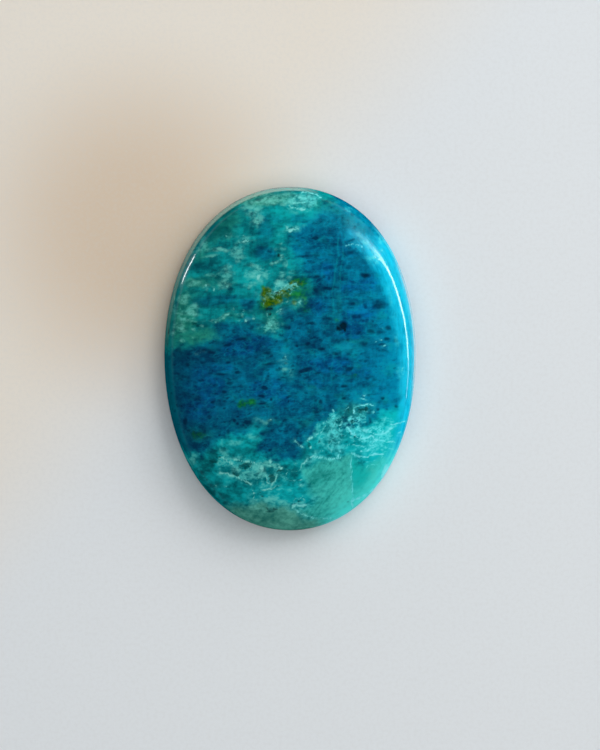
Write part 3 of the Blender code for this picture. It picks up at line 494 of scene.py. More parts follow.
# White veins, each as its half width, its strength and its corners.
WHITE_VEINS = [
    (0.05, 0.6, (5.35, -8.7), (5.44, -9.6), (5.42, -10.6), (5.5, -11.6), (5.44, -12.6), (5.4, -13.6)),
    (0.05, 0.3, (5.0, -10.4), (5.2, -10.1), (5.3, -9.7)),
    (0.05, 0.3, (4.8, -11.0), (5.1, -10.8), (5.3, -10.4)),
    (0.05, 0.5, (5.9, -9.15), (6.8, -9.05), (7.6, -8.95)),
    (0.05, 0.45, (6.6, -9.6), (7.2, -9.4), (7.8, -9.35)),
    (0.05, 0.5, (8.05, -8.6), (8.1, -9.4), (7.95, -10.2)),
    (0.05, 0.6, (2.2, -6.9), (2.7, -6.5), (3.1, -6.0)),
    (0.05, 0.6, (3.6, -8.3), (3.3, -7.8), (3.7, -7.2), (3.6, -6.6)),
    (0.05, 0.6, (5.9, -7.2), (6.3, -6.8), (6.1, -6.4)),
    (0.05, 0.6, (6.6, -7.9), (7.3, -7.3), (7.9, -6.9), (8.2, -6.4)),
    (0.05, 0.5, (7.0, -8.4), (7.8, -8.1), (8.6, -8.2)),
    (0.05, 0.5, (2.5, -8.1), (3.1, -8.2), (3.7, -8.0)),
    (0.04, 0.6, (5.0, -4.3), (4.6, -4.8), (4.7, -5.4), (4.4, -6.0)),
    (0.04, 0.6, (5.6, -5.6), (6.2, -5.7), (6.9, -5.55)),
    (0.04, 0.6, (4.1, -5.0), (4.4, -5.6), (4.2, -6.3), (4.6, -7.0)),
    (0.04, 0.6, (2.9, -5.7), (3.4, -5.3), (3.9, -5.1)),
    (0.04, 0.6, (5.2, -6.9), (5.6, -7.3), (6.3, -7.35), (7.0, -7.2)),
    (0.04, 0.5, (8.5, -7.0), (9.2, -6.6), (9.8, -6.5)),
    (0.04, 0.5, (-5.3, -8.9), (-5.0, -9.3), (-4.9, -9.9)),
    (0.04, 0.5, (-3.6, -9.2), (-3.5, -9.8), (-3.2, -10.3)),
    (0.04, 0.5, (-2.6, -9.3), (-2.9, -9.9), (-2.7, -10.5), (-2.9, -11.1)),
    (0.05, 0.55, (-2.9, 5.5), (-2.5, 5.3), (-2.15, 5.0), (-2.3, 4.6)),
    (0.05, 0.6, (-1.75, 5.85), (-1.3, 5.8), (-0.95, 6.0), (-0.5, 6.1), (0.0, 6.2), (0.5, 6.5), (0.8, 6.2)),
    (0.05, 0.5, (-0.8, 5.45), (-0.4, 5.7), (0.1, 5.65), (0.3, 5.9)),
    (0.05, 0.5, (-1.5, 5.75), (-1.5, 5.3), (-1.0, 5.1), (-0.7, 4.8)),
    # A painted band of light along the lower right rim.
    (0.08, 0.7, (5.3, -12.6), (6.1, -12.25), (6.9, -11.8), (7.6, -11.25), (8.0, -10.8)),
    (0.07, 0.8, (-0.1, 13.3), (0.5, 13.15), (1.3, 12.98)),
    (0.06, 0.6, (0.3, 13.55), (0.9, 13.7), (1.5, 13.6), (2.1, 13.75)),
    (0.06, 0.6, (0.7, 14.15), (1.2, 14.0), (1.9, 14.15)),
    (0.07, 0.8, (1.0, 14.6), (1.6, 14.58), (2.2, 14.38), (2.7, 14.12)),
    (0.05, 0.5, (0.2, 13.9), (0.6, 14.3)),
    (0.06, 0.7, (5.0, 9.9), (5.6, 9.93), (6.0, 9.85), (6.4, 9.7)),
    (0.07, 0.9, (-6.0, -8.75), (-5.65, -8.85), (-5.4, -9.05), (-5.15, -9.25)),
    (0.06, 0.8, (-4.95, -8.75), (-4.6, -8.9), (-4.1, -9.05), (-3.2, -9.1)),
    (0.07, 0.9, (-6.1, -10.05), (-5.6, -10.1), (-4.95, -10.25), (-4.5, -10.4), (-4.1, -10.7), (-3.4, -11.05)),
    (0.06, 0.5, (-6.5, -11.15), (-6.0, -11.12), (-5.4, -11.15)),
    (0.06, 0.7, (-2.1, -10.2), (-1.95, -10.8), (-1.65, -11.15), (-1.35, -10.7), (-1.15, -10.15)),
    (0.06, 0.6, (-3.2, -9.35), (-2.5, -9.15), (-1.9, -9.35), (-1.3, -9.55), (-0.75, -9.65), (-0.2, -9.85)),
    (0.06, 0.55, (-3.6, -11.95), (-3.2, -11.75), (-2.9, -11.8)),
    (0.07, 0.75, (-2.5, -11.5), (-2.0, -11.46), (-1.5, -11.36), (-0.9, -11.1)),
    (0.05, 0.6, (-3.3, -11.6), (-3.1, -12.0), (-3.3, -12.3)),
    (0.06, 0.5, (-0.2, -9.95), (-0.5, -10.4), (-0.3, -10.65), (0.4, -10.65), (1.0, -10.6)),
    (0.05, 0.5, (-0.2, -9.9), (0.4, -9.95), (0.9, -9.8), (1.1, -9.3), (1.6, -8.9)),
    (0.10, 0.9, (0.15, -13.05), (0.45, -12.85), (0.85, -12.98), (1.3, -12.9)),
    (0.05, 0.6, (0.3, -12.6), (0.6, -12.25), (1.0, -12.2), (1.3, -12.45)),
    (0.06, 0.7, (0.45, -13.25), (1.0, -13.6), (1.8, -13.92), (2.8, -14.1), (4.0, -14.1)),
    (0.05, 0.8, (0.4, -7.15), (0.75, -7.5), (1.1, -7.85)),
    (0.05, 0.45, (-0.15, -5.6), (0.1, -6.0), (0.45, -6.35)),
    (0.07, 0.9, (1.2, -9.2), (1.5, -8.85), (2.0, -8.65), (2.6, -8.7), (3.4, -8.85), (4.4, -8.8)),
    (0.07, 0.9, (5.3, -8.38), (5.8, -8.58), (6.5, -8.65), (7.2, -8.5), (8.2, -8.45)),
    (0.06, 0.8, (6.1, -8.1), (6.8, -8.08), (7.3, -7.85)),
    (0.05, 0.6, (4.7, -7.7), (5.4, -7.65), (6.2, -7.75), (7.0, -7.62), (7.6, -7.5)),
    (0.07, 0.9, (6.0, -7.15), (6.7, -7.02), (7.1, -6.85), (7.7, -7.15), (8.4, -7.3), (9.2, -7.35)),
    (0.05, 0.7, (7.2, -7.7), (8.0, -7.75), (8.6, -7.95), (9.4, -8.0)),
    (0.06, 0.8, (6.2, -6.35), (7.0, -6.5), (7.6, -6.7), (8.3, -6.6), (8.9, -6.2)),
    (0.05, 0.7, (5.9, -6.1), (6.6, -6.35), (7.3, -6.2), (8.0, -6.35)),
    (0.07, 0.8, (8.9, -5.85), (9.6, -5.72), (10.4, -5.6)),
    (0.07, 0.85, (5.0, -6.05), (5.25, -6.45), (5.55, -6.75), (5.95, -6.95)),
    (0.05, 0.7, (5.45, -5.35), (6.1, -5.38), (6.0, -5.9)),
    (0.05, 0.8, (6.25, -4.12), (6.55, -4.05), (7.0, -4.05), (7.3, -4.2)),
    (0.04, 0.4, (6.25, -4.12), (5.9, -4.3), (5.6, -4.5)),
    (0.05, 0.6, (3.0, -7.6), (3.4, -7.1), (3.3, -6.5), (3.8, -6.0), (4.05, -5.4)),
    (0.05, 0.6, (4.2, -8.6), (4.4, -8.1), (4.1, -7.7), (4.3, -7.3)),
]
# A healed crack, lighter hairlines, and the edge of a growth band: thin and faint.
HAIRLINES = [
    (0.06, 0.8, (5.35, -8.6), (5.42, -10.0), (5.45, -11.4), (5.5, -12.2), (5.35, -13.6)),
    (0.09, 0.5, (4.25, 10.6), (4.15, 8.8), (3.95, 7.2), (3.7, 5.6), (3.85, 3.4)),
    (0.08, 0.45, (4.75, 10.9), (4.6, 9.0), (4.4, 7.0), (4.45, 5.8)),
    (0.09, 0.4, (3.8, 0.6), (3.65, -0.8), (3.6, -2.6)),
    (0.09, 0.35, (5.0, 6.2), (4.95, 4.6), (5.1, 3.2)),
    (0.08, 0.35, (2.0, -2.4), (2.1, -4.0), (1.9, -5.6)),
    (0.08, 0.3, (-1.6, -2.2), (-1.5, -3.4), (-1.65, -4.8)),
    (0.07, 0.45, (3.9, 6.6), (5.4, 6.45), (7.0, 6.5), (8.4, 6.2)),
    (0.07, 0.45, (4.0, 5.25), (5.6, 5.3), (7.0, 5.2), (8.2, 5.35)),
    (0.07, 0.5, (4.4, 4.25), (5.8, 4.3), (7.2, 4.15), (8.6, 4.2)),
    (0.07, 0.45, (5.3, 3.45), (6.4, 3.0), (7.8, 3.1)), (0.07, 0.5, (5.2, 2.0), (6.6, 1.95), (8.0, 2.0)),
    (0.07, 0.4, (5.4, 4.1), (5.45, 2.6), (5.3, 1.6)), (0.07, 0.4, (7.0, 6.2), (7.05, 4.4), (6.9, 2.6)),
]
# The rock on the right of the healed crack has slipped a little, and is bluer where it meets it.
RIGHT_OF_CRACK = [
    (5.35, -8.5), (5.42, -10.0), (5.45, -11.4), (5.5, -12.2), (5.35, -14.5), (12.0, -14.5), (12.0, -8.5),
]
SLIPPED_ROCK = [
    (6.0, -10.0, 2.4, 3.6, -20, 1.0), (6.4, -9.4, 3.4, 1.4, 0, 0.8), (5.6, -12.4, 1.0, 2.0, 0, 0.6),
]
# Where the quartz makes a net of fine lines.
LACE_PATCHES = [
    (-0.7, 6.0, 2.8, 1.0, 22, 1.0), (-1.6, 2.9, 1.6, 1.0, 20, 0.9), (-4.0, 3.9, 1.6, 0.9, 0, 0.5),
    (7.6, -6.9, 3.8, 2.8, 10, 0.8), (5.6, -5.9, 1.8, 1.8, -30, 0.9), (3.6, -6.8, 2.4, 3.2, 0, 0.8),
    (-3.2, -10.0, 4.6, 2.4, -8, 0.75), (-5.6, -9.0, 1.4, 1.2, -40, 0.7), (-1.6, -12.2, 3.6, 1.4, 10, 0.6),
    (1.0, 13.7, 2.6, 1.6, 10, 0.7), (-3.0, 7.6, 2.2, 1.6, 0, 0.55), (-9.2, 3.6, 1.6, 2.2, 0, 0.45),
    (-5.6, 7.4, 1.6, 1.6, 0, 0.4), (6.4, -4.4, 1.2, 0.9, 10, 0.6), (1.2, -12.9, 1.6, 1.0, 0, 0.6),
]
# Olive and green grains of a copper mineral.
OLIVE_GRAINS = [
    (-2.1, 5.65, 0.9, 1.1, -20, 1.0), (-1.75, 5.1, 1.3, 1.1, 0, 1.0), (-1.2, 5.2, 1.1, 1.0, -25, 1.0),
    (-0.7, 5.75, 1.4, 0.5, 28, 0.95), (0.0, 6.2, 1.3, 0.6, 35, 0.8), (-0.3, 5.5, 0.9, 0.5, 0, 0.5),
    (0.35, 4.85, 0.6, 0.5, 0, 0.5), (-2.4, 5.45, 0.6, 0.6, 0, 0.8), (0.7, 6.55, 0.8, 0.4, 20, 0.5),
]
GREEN_GRAINS = [
    (1.0, 6.7, 1.4, 0.8, 15, 1.1), (0.5, 6.4, 1.0, 0.8, 30, 1.0), (0.5, 5.6, 1.6, 1.3, 0, 0.8),
    (1.3, 5.4, 0.9, 1.8, 0, 0.5), (1.5, 4.5, 0.9, 0.7, 0, 0.5), (-0.2, 5.7, 1.4, 1.0, 20, 0.9),
    (-4.25, -4.0, 0.75, 0.6, 20, 1.1), (-3.5, -3.95, 0.9, 0.65, 0, 1.0), (5.65, -1.7, 0.5, 0.4, 0, 0.7),
    (-0.8, -3.65, 0.9, 0.35, 0, 0.4), (1.9, -2.6, 1.1, 0.5, 10, 0.4), (4.2, 3.35, 0.6, 0.4, 0, 0.5),
    (-2.1, 4.7, 1.2, 0.8, 0, 0.9), (-8.1, -6.55, 1.3, 0.6, 0, 0.5), (-1.9, 2.2, 0.8, 0.3, 0, 0.3),
    (-2.4, 6.2, 0.6, 0.6, 0, 0.7), (5.4, -13.0, 0.4, 0.8, 0, 0.2),
]
# Where the polish is a little cloudy, so that the window's image is soft.
CLOUDY_POLISH = [(6.2, 10.9, 4.4, 1.5, -56, 1.0), (7.5, 9.2, 1.4, 1.2, -60, 0.7)]

points, inset, quads, joins = stone_surface()
stone_mesh = bpy.data.meshes.new("stone")
stone_mesh.from_pydata(points * MM, [], quads.tolist() + joins.tolist())
stone_mesh.shade_smooth()

# The marks are laid out as the stone is seen from a little to the upper left, so a point's place
# leans and spreads with its height. The scale and the shift carry it to the layout's own frame.
SEEN_FROM = 240.0
SEEN_HEIGHT = 2.0
LEAN_LEFT = math.radians(3.0)
LEAN_UP = math.radians(5.0)
SEEN_LEAN = np.array([math.tan(LEAN_LEFT), -math.tan(LEAN_UP)])
SEEN_SCALE = np.array([1.011, 1.008])
SEEN_SHIFT = np.array([0.07, -0.175])
rise = points[:, 2:] - SEEN_HEIGHT
nearness = (rise - points[:, :2] @ SEEN_LEAN[:, None]) / SEEN_FROM
seen_place = SEEN_SHIFT + SEEN_SCALE * (1 + nearness) * (points[:, :2] + rise * SEEN_LEAN)


def wander(cells_per_mm, seed):
    """Two smooth random values for every point, by which its place is pushed about in plan."""
    return np.stack([grain(points, cells_per_mm, seed), grain(points, cells_per_mm, seed + 1)], -1)


def ramp(values, first, last):
    """0 up to the first value, 1 from the last one on, and even between them."""
    return np.clip((values - first) / (last - first), 0, 1)


# Below the dome the markings drift by up to this many millimetres, so that the wall and the back are
# other slices of the same rock. Everywhere they wander a little, the zones and clouds the most.
DRIFT = 2.6
DRIFT_TOP = DOME_BASE + 0.4
buried = np.clip((DRIFT_TOP - points[:, 2]) / DOME_BASE, 0, 1.2)[:, None]
drift = DRIFT * buried * wander(0.22, 11)
crinkle = wander(1.3, 13)
fine_crinkle = wander(3.4, 15)
place = seen_place + drift + 0.10 * crinkle + 0.06 * fine_crinkle
rough_place = place + 0.09 * wander(5.0, 18)
loose_place = seen_place + drift + 0.22 * crinkle + 0.10 * fine_crinkle
swell = 1 + 0.45 * grain(points, 1.1, 17)

# Parts of the stone, each 1 inside and 0 outside. The right margin is painted lighter cyan, standing in for
# the light from the right that glows in the thin rock there, and painted shade darkens the rock evenly from
# there to the left.
x, y, z = points.T
below_top = ramp(y, 12.0, 9.5)
lit_margin = 1.6 + 0.09 * y
glow = ramp(inset, lit_margin + 0.6, lit_margin - 0.6) * (x > 0) * below_top * ramp(y, -13.0, -9.0)
right_side = ramp(x, 7.0, 9.0) * ramp(y, -4.0, -1.0) * ramp(y, 9.0, 7.0)
bright_side = ramp(y, 1.0, 13.0) * ramp(x, 2.5, 0.5)
left_glint = ramp(y, 6.2, 6.7) * ramp(y, 9.5, 9.0) * ramp(inset, 0.34, 0.42) * (x < 0)
low_edge = ramp(x, 1.5, 4.5) * ramp(y, -6.0, -9.0)
above_wall = np.maximum(ramp(z, 0.7, 1.9), 0.15)

# How many times its laid-out size a mark is, and how strong and large the milky rock about it is.
FLECK_SIZE = 1.12
SPECK_SIZE = 1.2
VEIN_SIZE = 0.85
MILKINESS = 0.45
MILKY_SPECK_SIZE = 2.4
MILKY_VEIN_SIZE = 3.5
milkiness = MILKINESS * np.maximum(
    ovals(rough_place, WHITE_SPECKS, MILKY_SPECK_SIZE),
    veins(rough_place, WHITE_VEINS, MILKY_VEIN_SIZE * swell),
)

# What the material reads at each point of the surface, by name. Painted light and shade among them: the
# lighter right in the tone, glow, left, left_band, low_glow, fringe, lit_edge and top_band.
markings = {
    "teal": zone(loose_place, TEAL_ZONE),
    "green": ovals(loose_place, GREEN_TINTS),
    "bluer": ovals(loose_place, BLUE_TINTS),
    "pure": ovals(loose_place, PURE_PATCHES),
    "aqua": zone(loose_place, AQUA_ZONE),
    "mint": zone(loose_place, MINT_ZONE),
    "sage": zone(loose_place, SAGE_ZONE),
    # The tone: lighter and darker patches of the rock, and painted light that lightens it towards the right.
    "tone": 0.5 + 0.5 * (
        ovals(loose_place, LIGHT_PATCHES) - ovals(loose_place, DARK_PATCHES) + ramp(x, 4.5, 9.0)
    ),
    "fleck": ovals(place, DARK_FLECKS, FLECK_SIZE),
    "black": ovals(place, BLACK_SPOTS),
    "gap": ovals(rough_place, DARK_GAPS),
    "slipped": ovals(loose_place, SLIPPED_ROCK) * ramp(zone(place, RIGHT_OF_CRACK), 0, 0.1),
    "pale": np.maximum(ovals(loose_place, PALE_CLOUDS), milkiness),
    "white": ovals(rough_place, WHITE_SPECKS, SPECK_SIZE),
    "vein": veins(rough_place, WHITE_VEINS, VEIN_SIZE * swell),
    "hairline": veins(place, HAIRLINES, swell),
    "olive": ovals(place, OLIVE_GRAINS),
    "grass": ovals(loose_place, GREEN_GRAINS),
    "glow": glow,
    "left": ramp(x, -1.0, -9.5) ** 1.6,
    "left_band": ramp(inset, 0.85, 0.60) * ramp(x, -5.0, -7.0),
    "low_glow": ramp(inset, 1.9, 0.6) * low_edge,
    "fringe": ramp(inset, 0.34, 0.12) * ramp(x, 2.0, 5.0) * below_top * above_wall,
    "lit_edge": ramp(inset, 0.50, 0.15) * low_edge * ramp(z, 0, 0.9),
    "right": ramp(x, -1.0, 5.0),
    "wall": (
        ramp(inset, 0.78, 0.53) * (1 - right_side) * (1 - left_glint)
        * (1 - bright_side * ramp(inset, 0.34, 0.24))
    ),
    "top_band": ramp(inset, 0.32, 0.22) * bright_side * above_wall,
    "lace": ovals(loose_place, LACE_PATCHES),
    "haze": ovals(seen_place, CLOUDY_POLISH),
}
for name, values in markings.items():
    stone_mesh.attributes.new(name, "FLOAT", "POINT").data.foreach_set("value", values.astype(np.float32))

# How far in from the rim and how far round it a point is, for the streaks that follow the rim.
rim_places = np.stack([inset, np.arctan2(y, x) * MEAN_RADIUS, z], -1)
stone_mesh.attributes.new("rim_place", "FLOAT_VECTOR", "POINT").data.foreach_set(
    "vector", rim_places.astype(np.float32).ravel()
)


class Shade:
    """A value in a material's tree. Arithmetic on it adds Math nodes."""

    def __init__(self, tree, socket):
        self.tree = tree
        self.socket = socket

    def node(self, kind, settings, inputs, output=0):
        """Adds a node: its settings first, then the values or links of its sockets."""
        made = self.tree.nodes.new(kind)
        for name, value in settings.items():
            setattr(made, name, value)
        for key, value in inputs.items():
            if isinstance(value, Shade):
                self.tree.links.new(value.socket, made.inputs[key])
            else:
                made.inputs[key].default_value = value
        return Shade(self.tree, made.outputs[output])

    def math(self, operation, first, second):
        return self.node("ShaderNodeMath", {"operation": operation}, {0: first, 1: second})

    def __add__(self, other):
        return self.math("ADD", self, other)

    def __radd__(self, other):
        return self.math("ADD", other, self)

    def __sub__(self, other):
        return self.math("SUBTRACT", self, other)

    def __rsub__(self, other):
        return self.math("SUBTRACT", other, self)

    def __mul__(self, other):
        return self.math("MULTIPLY", self, other)

    def __rmul__(self, other):
        return self.math("MULTIPLY", other, self)

    def between(self, low, high):
        """0 below low, 1 above high, and eased between them."""
        return self.node(
            "ShaderNodeMapRange", {"interpolation_type": "SMOOTHSTEP"},
            {"Value": self, "From Min": low, "From Max": high},
        )

    def over(self, under, colour):
        """The colour laid over the one under it, with this value as its share."""
        return self.node(
            "ShaderNodeMix", {"data_type": "RGBA"}, {0: self, 6: under, 7: colour}, output=2
        )


def new_material(name):
    """A new material, its tree, and the Principled shader that the tree starts with."""
    material = bpy.data.materials.new(name)
    material.use_nodes = True
    return material, material.node_tree, material.node_tree.nodes["Principled BSDF"]


# The share of its own colour that the face shows under the lights below.
FACE_LIGHT = 0.9


def srgb(red, green, blue):
    """A colour in 0 to 255 as it looks on a screen, turned to linear light."""
    part = [c / 255 for c in (red, green, blue)]
    return tuple(c / 12.92 if c <= 0.04045 else ((c + 0.055) / 1.055) ** 2.4 for c in part) + (1.0,)


def seen(red, green, blue):
    """The base colour that looks like this on the lit face."""
    return tuple(min(c / FACE_LIGHT, 1.0) for c in srgb(red, green, blue)[:3]) + (1.0,)


# The deep and the clear colour of each mineral.
DEEP_BLUE, CLEAR_BLUE = seen(0, 54, 86), seen(0, 134, 170)
DEEP_SEA_BLUE, CLEAR_SEA_BLUE = seen(0, 66, 84), seen(4, 142, 158)
DEEP_PURE_BLUE, CLEAR_PURE_BLUE = seen(0, 48, 90), seen(0, 116, 176)
DEEP_TEAL, CLEAR_TEAL = seen(0, 74, 84), seen(8, 160, 162)
DEEP_GREEN, CLEAR_GREEN = seen(2, 84, 80), seen(40, 150, 128)
DEEP_AQUA, CLEAR_AQUA = seen(0, 84, 92), seen(8, 176, 182)
DEEP_MINT, CLEAR_MINT = seen(0, 116, 112), seen(70, 200, 190)
DEEP_SAGE, CLEAR_SAGE = seen(30, 108, 100), seen(88, 174, 156)
DEEP_GRASS, CLEAR_GRASS = seen(0, 72, 40), seen(20, 126, 44)
DEEP_OLIVE, CLEAR_OLIVE = seen(14, 70, 0), seen(82, 114, 0)
# Tints over the minerals, then painted shade and light: the darker blue of the shaded left, and the
# lit, glowing and reflecting colours of the margins.
SHADED_LEFT_BLUE = seen(0, 50, 80)
THREAD_BLUE = seen(0, 138, 162)
SLIPPED_TEAL = seen(10, 174, 170)
LIT_LEFT_RIM_TEAL = seen(0, 104, 118)
RIM_CYAN, LIT_SHOULDER_CYAN = seen(0, 154, 190), seen(16, 188, 220)
RIM_REFLECTION_CYAN = seen(106, 206, 222)
LIT_MINT = seen(66, 214, 208)
# The dark marks, and the pale ones on the left and on the right of the stone.
NAVY = seen(0, 34, 62)
DARK_GREEN = seen(0, 54, 56)
NEARLY_BLACK = seen(0, 20, 32)
PALE_TEAL, PALE_CYAN = seen(98, 190, 178), seen(66, 204, 212)
LACE_TEAL, LACE_CYAN = seen(84, 188, 181), seen(82, 218, 222)
WHITE_QUARTZ, WHITE_CYAN = seen(114, 202, 195), seen(112, 220, 226)
# Painted glow: light emitted at the lower right edge, standing in for light come through the clear rock.
PASSED_LIGHT = (0.12, 0.19, 0.25, 1.0)
NO_LIGHT = (0.0, 0.0, 0.0, 1.0)
PASSED_STRENGTH = 1.0

stone_material, tree, shader = new_material("polished_shattuckite")
start = Shade(tree, None)
metres = start.node("ShaderNodeTexCoord", {}, {}, output="Object")
millimetres = start.node("ShaderNodeVectorMath", {"operation": "SCALE"}, {0: metres, "Scale": 1 / MM})


def rock_place(size, turn_deg):
    """Places in the rock, measured in steps of size = (x, y, z) millimetres turned about +Z."""
    return start.node(
        "ShaderNodeMapping", {"vector_type": "TEXTURE"},
        {"Vector": millimetres, "Rotation": (0, 0, math.radians(turn_deg)), "Scale": size},
    )


def noise_at(where, detail, roughness):
    """Noise about 0, mostly within half either way, with features about one step in size."""
    noise = start.node(
        "ShaderNodeTexNoise", {"noise_dimensions": "3D"},
        {"Vector": where, "Scale": 1.0, "Detail": detail, "Roughness": roughness},
    )
    return (noise - 0.5) * 2


def rock_noise(size, detail, turn_deg):
    """Noise in the rock with features of about that size."""
    return noise_at(rock_place(size, turn_deg), detail, 0.55)


def crumpled(size, turn_deg):
    """Places in the rock as above, pushed about by noise so that no cell keeps straight sides."""
    crumple = start.node(
        "ShaderNodeTexNoise", {"noise_dimensions": "3D"},
        {"Vector": rock_place(size, turn_deg), "Scale": 1.6, "Detail": 3, "Roughness": 0.6},
        output="Color",
    )
    return start.node(
        "ShaderNodeVectorMath", {"operation": "MULTIPLY_ADD"},
        {0: crumple, 1: (1.3, 1.3, 1.3), 2: rock_place(size, turn_deg)},
    )


def net(size, turn_deg):
    """Thin crinkled lines between the cells of a broken crust: 1 on a line, and 0 a little off it."""
    edge = start.node(
        "ShaderNodeTexVoronoi", {"feature": "DISTANCE_TO_EDGE"},
        {"Vector": crumpled(size, turn_deg), "Scale": 1.0}, output="Distance",
    )
    return 1 - edge.between(0.0, 0.15)


def specks(size, turn_deg):
    """Scattered grains, one to a cell and some of them missing: 1 in a grain, and 0 away from it."""
    apart = start.node(
        "ShaderNodeTexVoronoi", {"feature": "F1"},
        {"Vector": crumpled(size, turn_deg), "Scale": 1.0}, output="Distance",
    )
    strength = Shade(tree, apart.socket.node.outputs["Color"])
    return (1 - apart.between(0.18, 0.46)) * strength.between(0.35, 0.70)


def marking(name):
    """The values of one kind of marking."""
    return start.node("ShaderNodeAttribute", {"attribute_name": name}, {}, output="Fac")


def there(name, sure):
    """Where the stone has marks of one kind: 1 from the value given, and 0 where it has none."""
    return marking(name).between(0.02, sure)


# The rock's noise from the coarsest clouds to the finest grit, and the slanting fibres of the mint.
cloud = rock_noise((2.6, 2.0, 2.2), 3, 0)
drift_of_hue = rock_noise((1.5, 1.0, 1.2), 2, -20)
mottle = rock_noise((1.05, 0.75, 0.9), 3, 10)
curd = rock_noise((0.55, 0.42, 0.5), 3, -6)
grit = rock_noise((0.32, 0.26, 0.3), 2, 8)
spark = rock_noise((0.17, 0.15, 0.16), 1, 0)
rows = rock_noise((0.9, 0.34, 0.6), 2, 6)
columns = rock_noise((0.34, 1.4, 0.6), 2, -4)
slant = rock_noise((1.8, 0.34, 1.0), 3, 50)
wisps = rock_noise((0.9, 0.20, 0.5), 2, 56)
# Needles, the nets of the pale crusts, the threads of the blue, and streaks along the rim.
needles = specks((0.62, 0.40, 0.5), 6)
crust = net((1.1, 0.55, 0.8), 6)
filigree = net((0.62, 0.40, 0.5), -14)
threads = net((0.80, 0.50, 0.7), 8)
frost = specks((0.30, 0.24, 0.28), 14)
rim_place = start.node("ShaderNodeAttribute", {"attribute_name": "rim_place"}, {}, output="Vector")
STREAKS_PER_MM = (3.4, 0.42, 1.6)
along_rim = start.node(
    "ShaderNodeVectorMath", {"operation": "MULTIPLY"}, {0: rim_place, 1: STREAKS_PER_MM}
)
rim_streaks = noise_at(along_rim, 3, 0.6)

# Each mineral runs from its deep colour to its clear one, with the tone and the weave of its fibres.
weave = rows * 0.46 + columns * 0.30 + mottle * 0.52 + curd * 0.36 + grit * 0.18
tone = marking("tone") + cloud * 0.44
blue = (tone + weave).between(-0.15, 1.5).over(DEEP_BLUE, CLEAR_BLUE)
sea_blue = (tone + weave).between(-0.15, 1.4).over(DEEP_SEA_BLUE, CLEAR_SEA_BLUE)
pure_blue = (tone + weave).between(-0.15, 1.5).over(DEEP_PURE_BLUE, CLEAR_PURE_BLUE)
blue = ((drift_of_hue + curd * 0.3).between(0.0, 0.5) * 0.8).over(blue, sea_blue)
blue = ((marking("pure") + drift_of_hue * -0.5 + curd * 0.3).between(0.1, 0.9) * 0.9).over(blue, pure_blue)
blue = (threads * (mottle * 0.7 + 0.25).between(-0.1, 0.6) * 0.42).over(blue, THREAD_BLUE)
# Painted shade: the blue darkens towards the left, away from the light.
blue = (marking("left") * 0.5).over(blue, SHADED_LEFT_BLUE)
teal = (tone + weave * 0.9).between(-0.1, 1.1).over(DEEP_TEAL, CLEAR_TEAL)
green = (tone + mottle * 0.5 + curd * 0.5).between(-0.1, 1.1).over(DEEP_GREEN, CLEAR_GREEN)
aqua = (tone + mottle * 0.6 + curd * 0.5 + grit * 0.3).between(-0.1, 1.1).over(DEEP_AQUA, CLEAR_AQUA)
mint = tone * 0.8 + slant * 0.36 + wisps * 0.36 + curd * 0.45 + grit * 0.3
mint = mint.between(-0.3, 1.15).over(DEEP_MINT, CLEAR_MINT)
mint = ((marking("slipped") + curd * 0.4 + wisps * 0.3) * 0.85).over(mint, SLIPPED_TEAL)
sage = (tone + slant * 0.3 + curd * 0.5 + grit * 0.3).between(-0.1, 1.1).over(DEEP_SAGE, CLEAR_SAGE)

# The minerals meet along ragged borders, and painted light and painted reflections brighten the rims.
ragged = cloud * 0.6 + mottle * 0.5 + curd * 0.35
teal = (marking("green") + cloud * 0.3 + curd * 0.2).between(0.05, 1.0).over(teal, green)
teal = ((marking("bluer") + curd * 0.35).between(0.1, 0.95) * 0.8).over(teal, blue)
blue = (marking("green") * 0.7 + curd * 0.2 * marking("green")).over(blue, teal)
colour = (marking("teal") + ragged).between(-0.7, 0.5).over(blue, teal)
in_aqua = (marking("aqua") + ragged).between(-0.5, 0.35)
colour = in_aqua.over(colour, aqua)
colour = ((marking("mint") + ragged).between(-0.4, 0.5) * in_aqua).over(colour, mint)
colour = ((marking("sage") + ragged).between(-0.5, 0.5) * in_aqua).over(colour, sage)
# Painted light: lighter cyan streaks on the right shoulder, where the light from the right falls.
glow = (marking("glow") + mottle * 0.25 + columns * 0.2) * marking("glow").between(0.0, 0.2)
rim_cyan = (rim_streaks + curd * 0.3).between(-0.5, 0.25).over(RIM_CYAN, LIT_SHOULDER_CYAN)
colour = glow.between(0.0, 1.0).over(colour, rim_cyan)
# Painted light: a lighter teal band along the left rim.
colour = (marking("left_band") * 0.5 * (1 - in_aqua)).over(colour, LIT_LEFT_RIM_TEAL)
# Painted reflection: a pale band along the upper left rim.
colour = (marking("top_band") * 0.6).over(colour, PALE_TEAL)
# Painted light: lit mint glowing along the lower right edge.
low_glow = marking("low_glow") * (rim_streaks * 0.8 + curd * 0.4 + 0.9)
colour = low_glow.between(0.0, 1.1).over(colour, LIT_MINT)
# Painted reflection: a pale cyan line at the outer edge of the right side.
colour = (marking("fringe") * (rim_streaks * 0.9 + curd * 0.4 + 0.75)).over(colour, RIM_REFLECTION_CYAN)

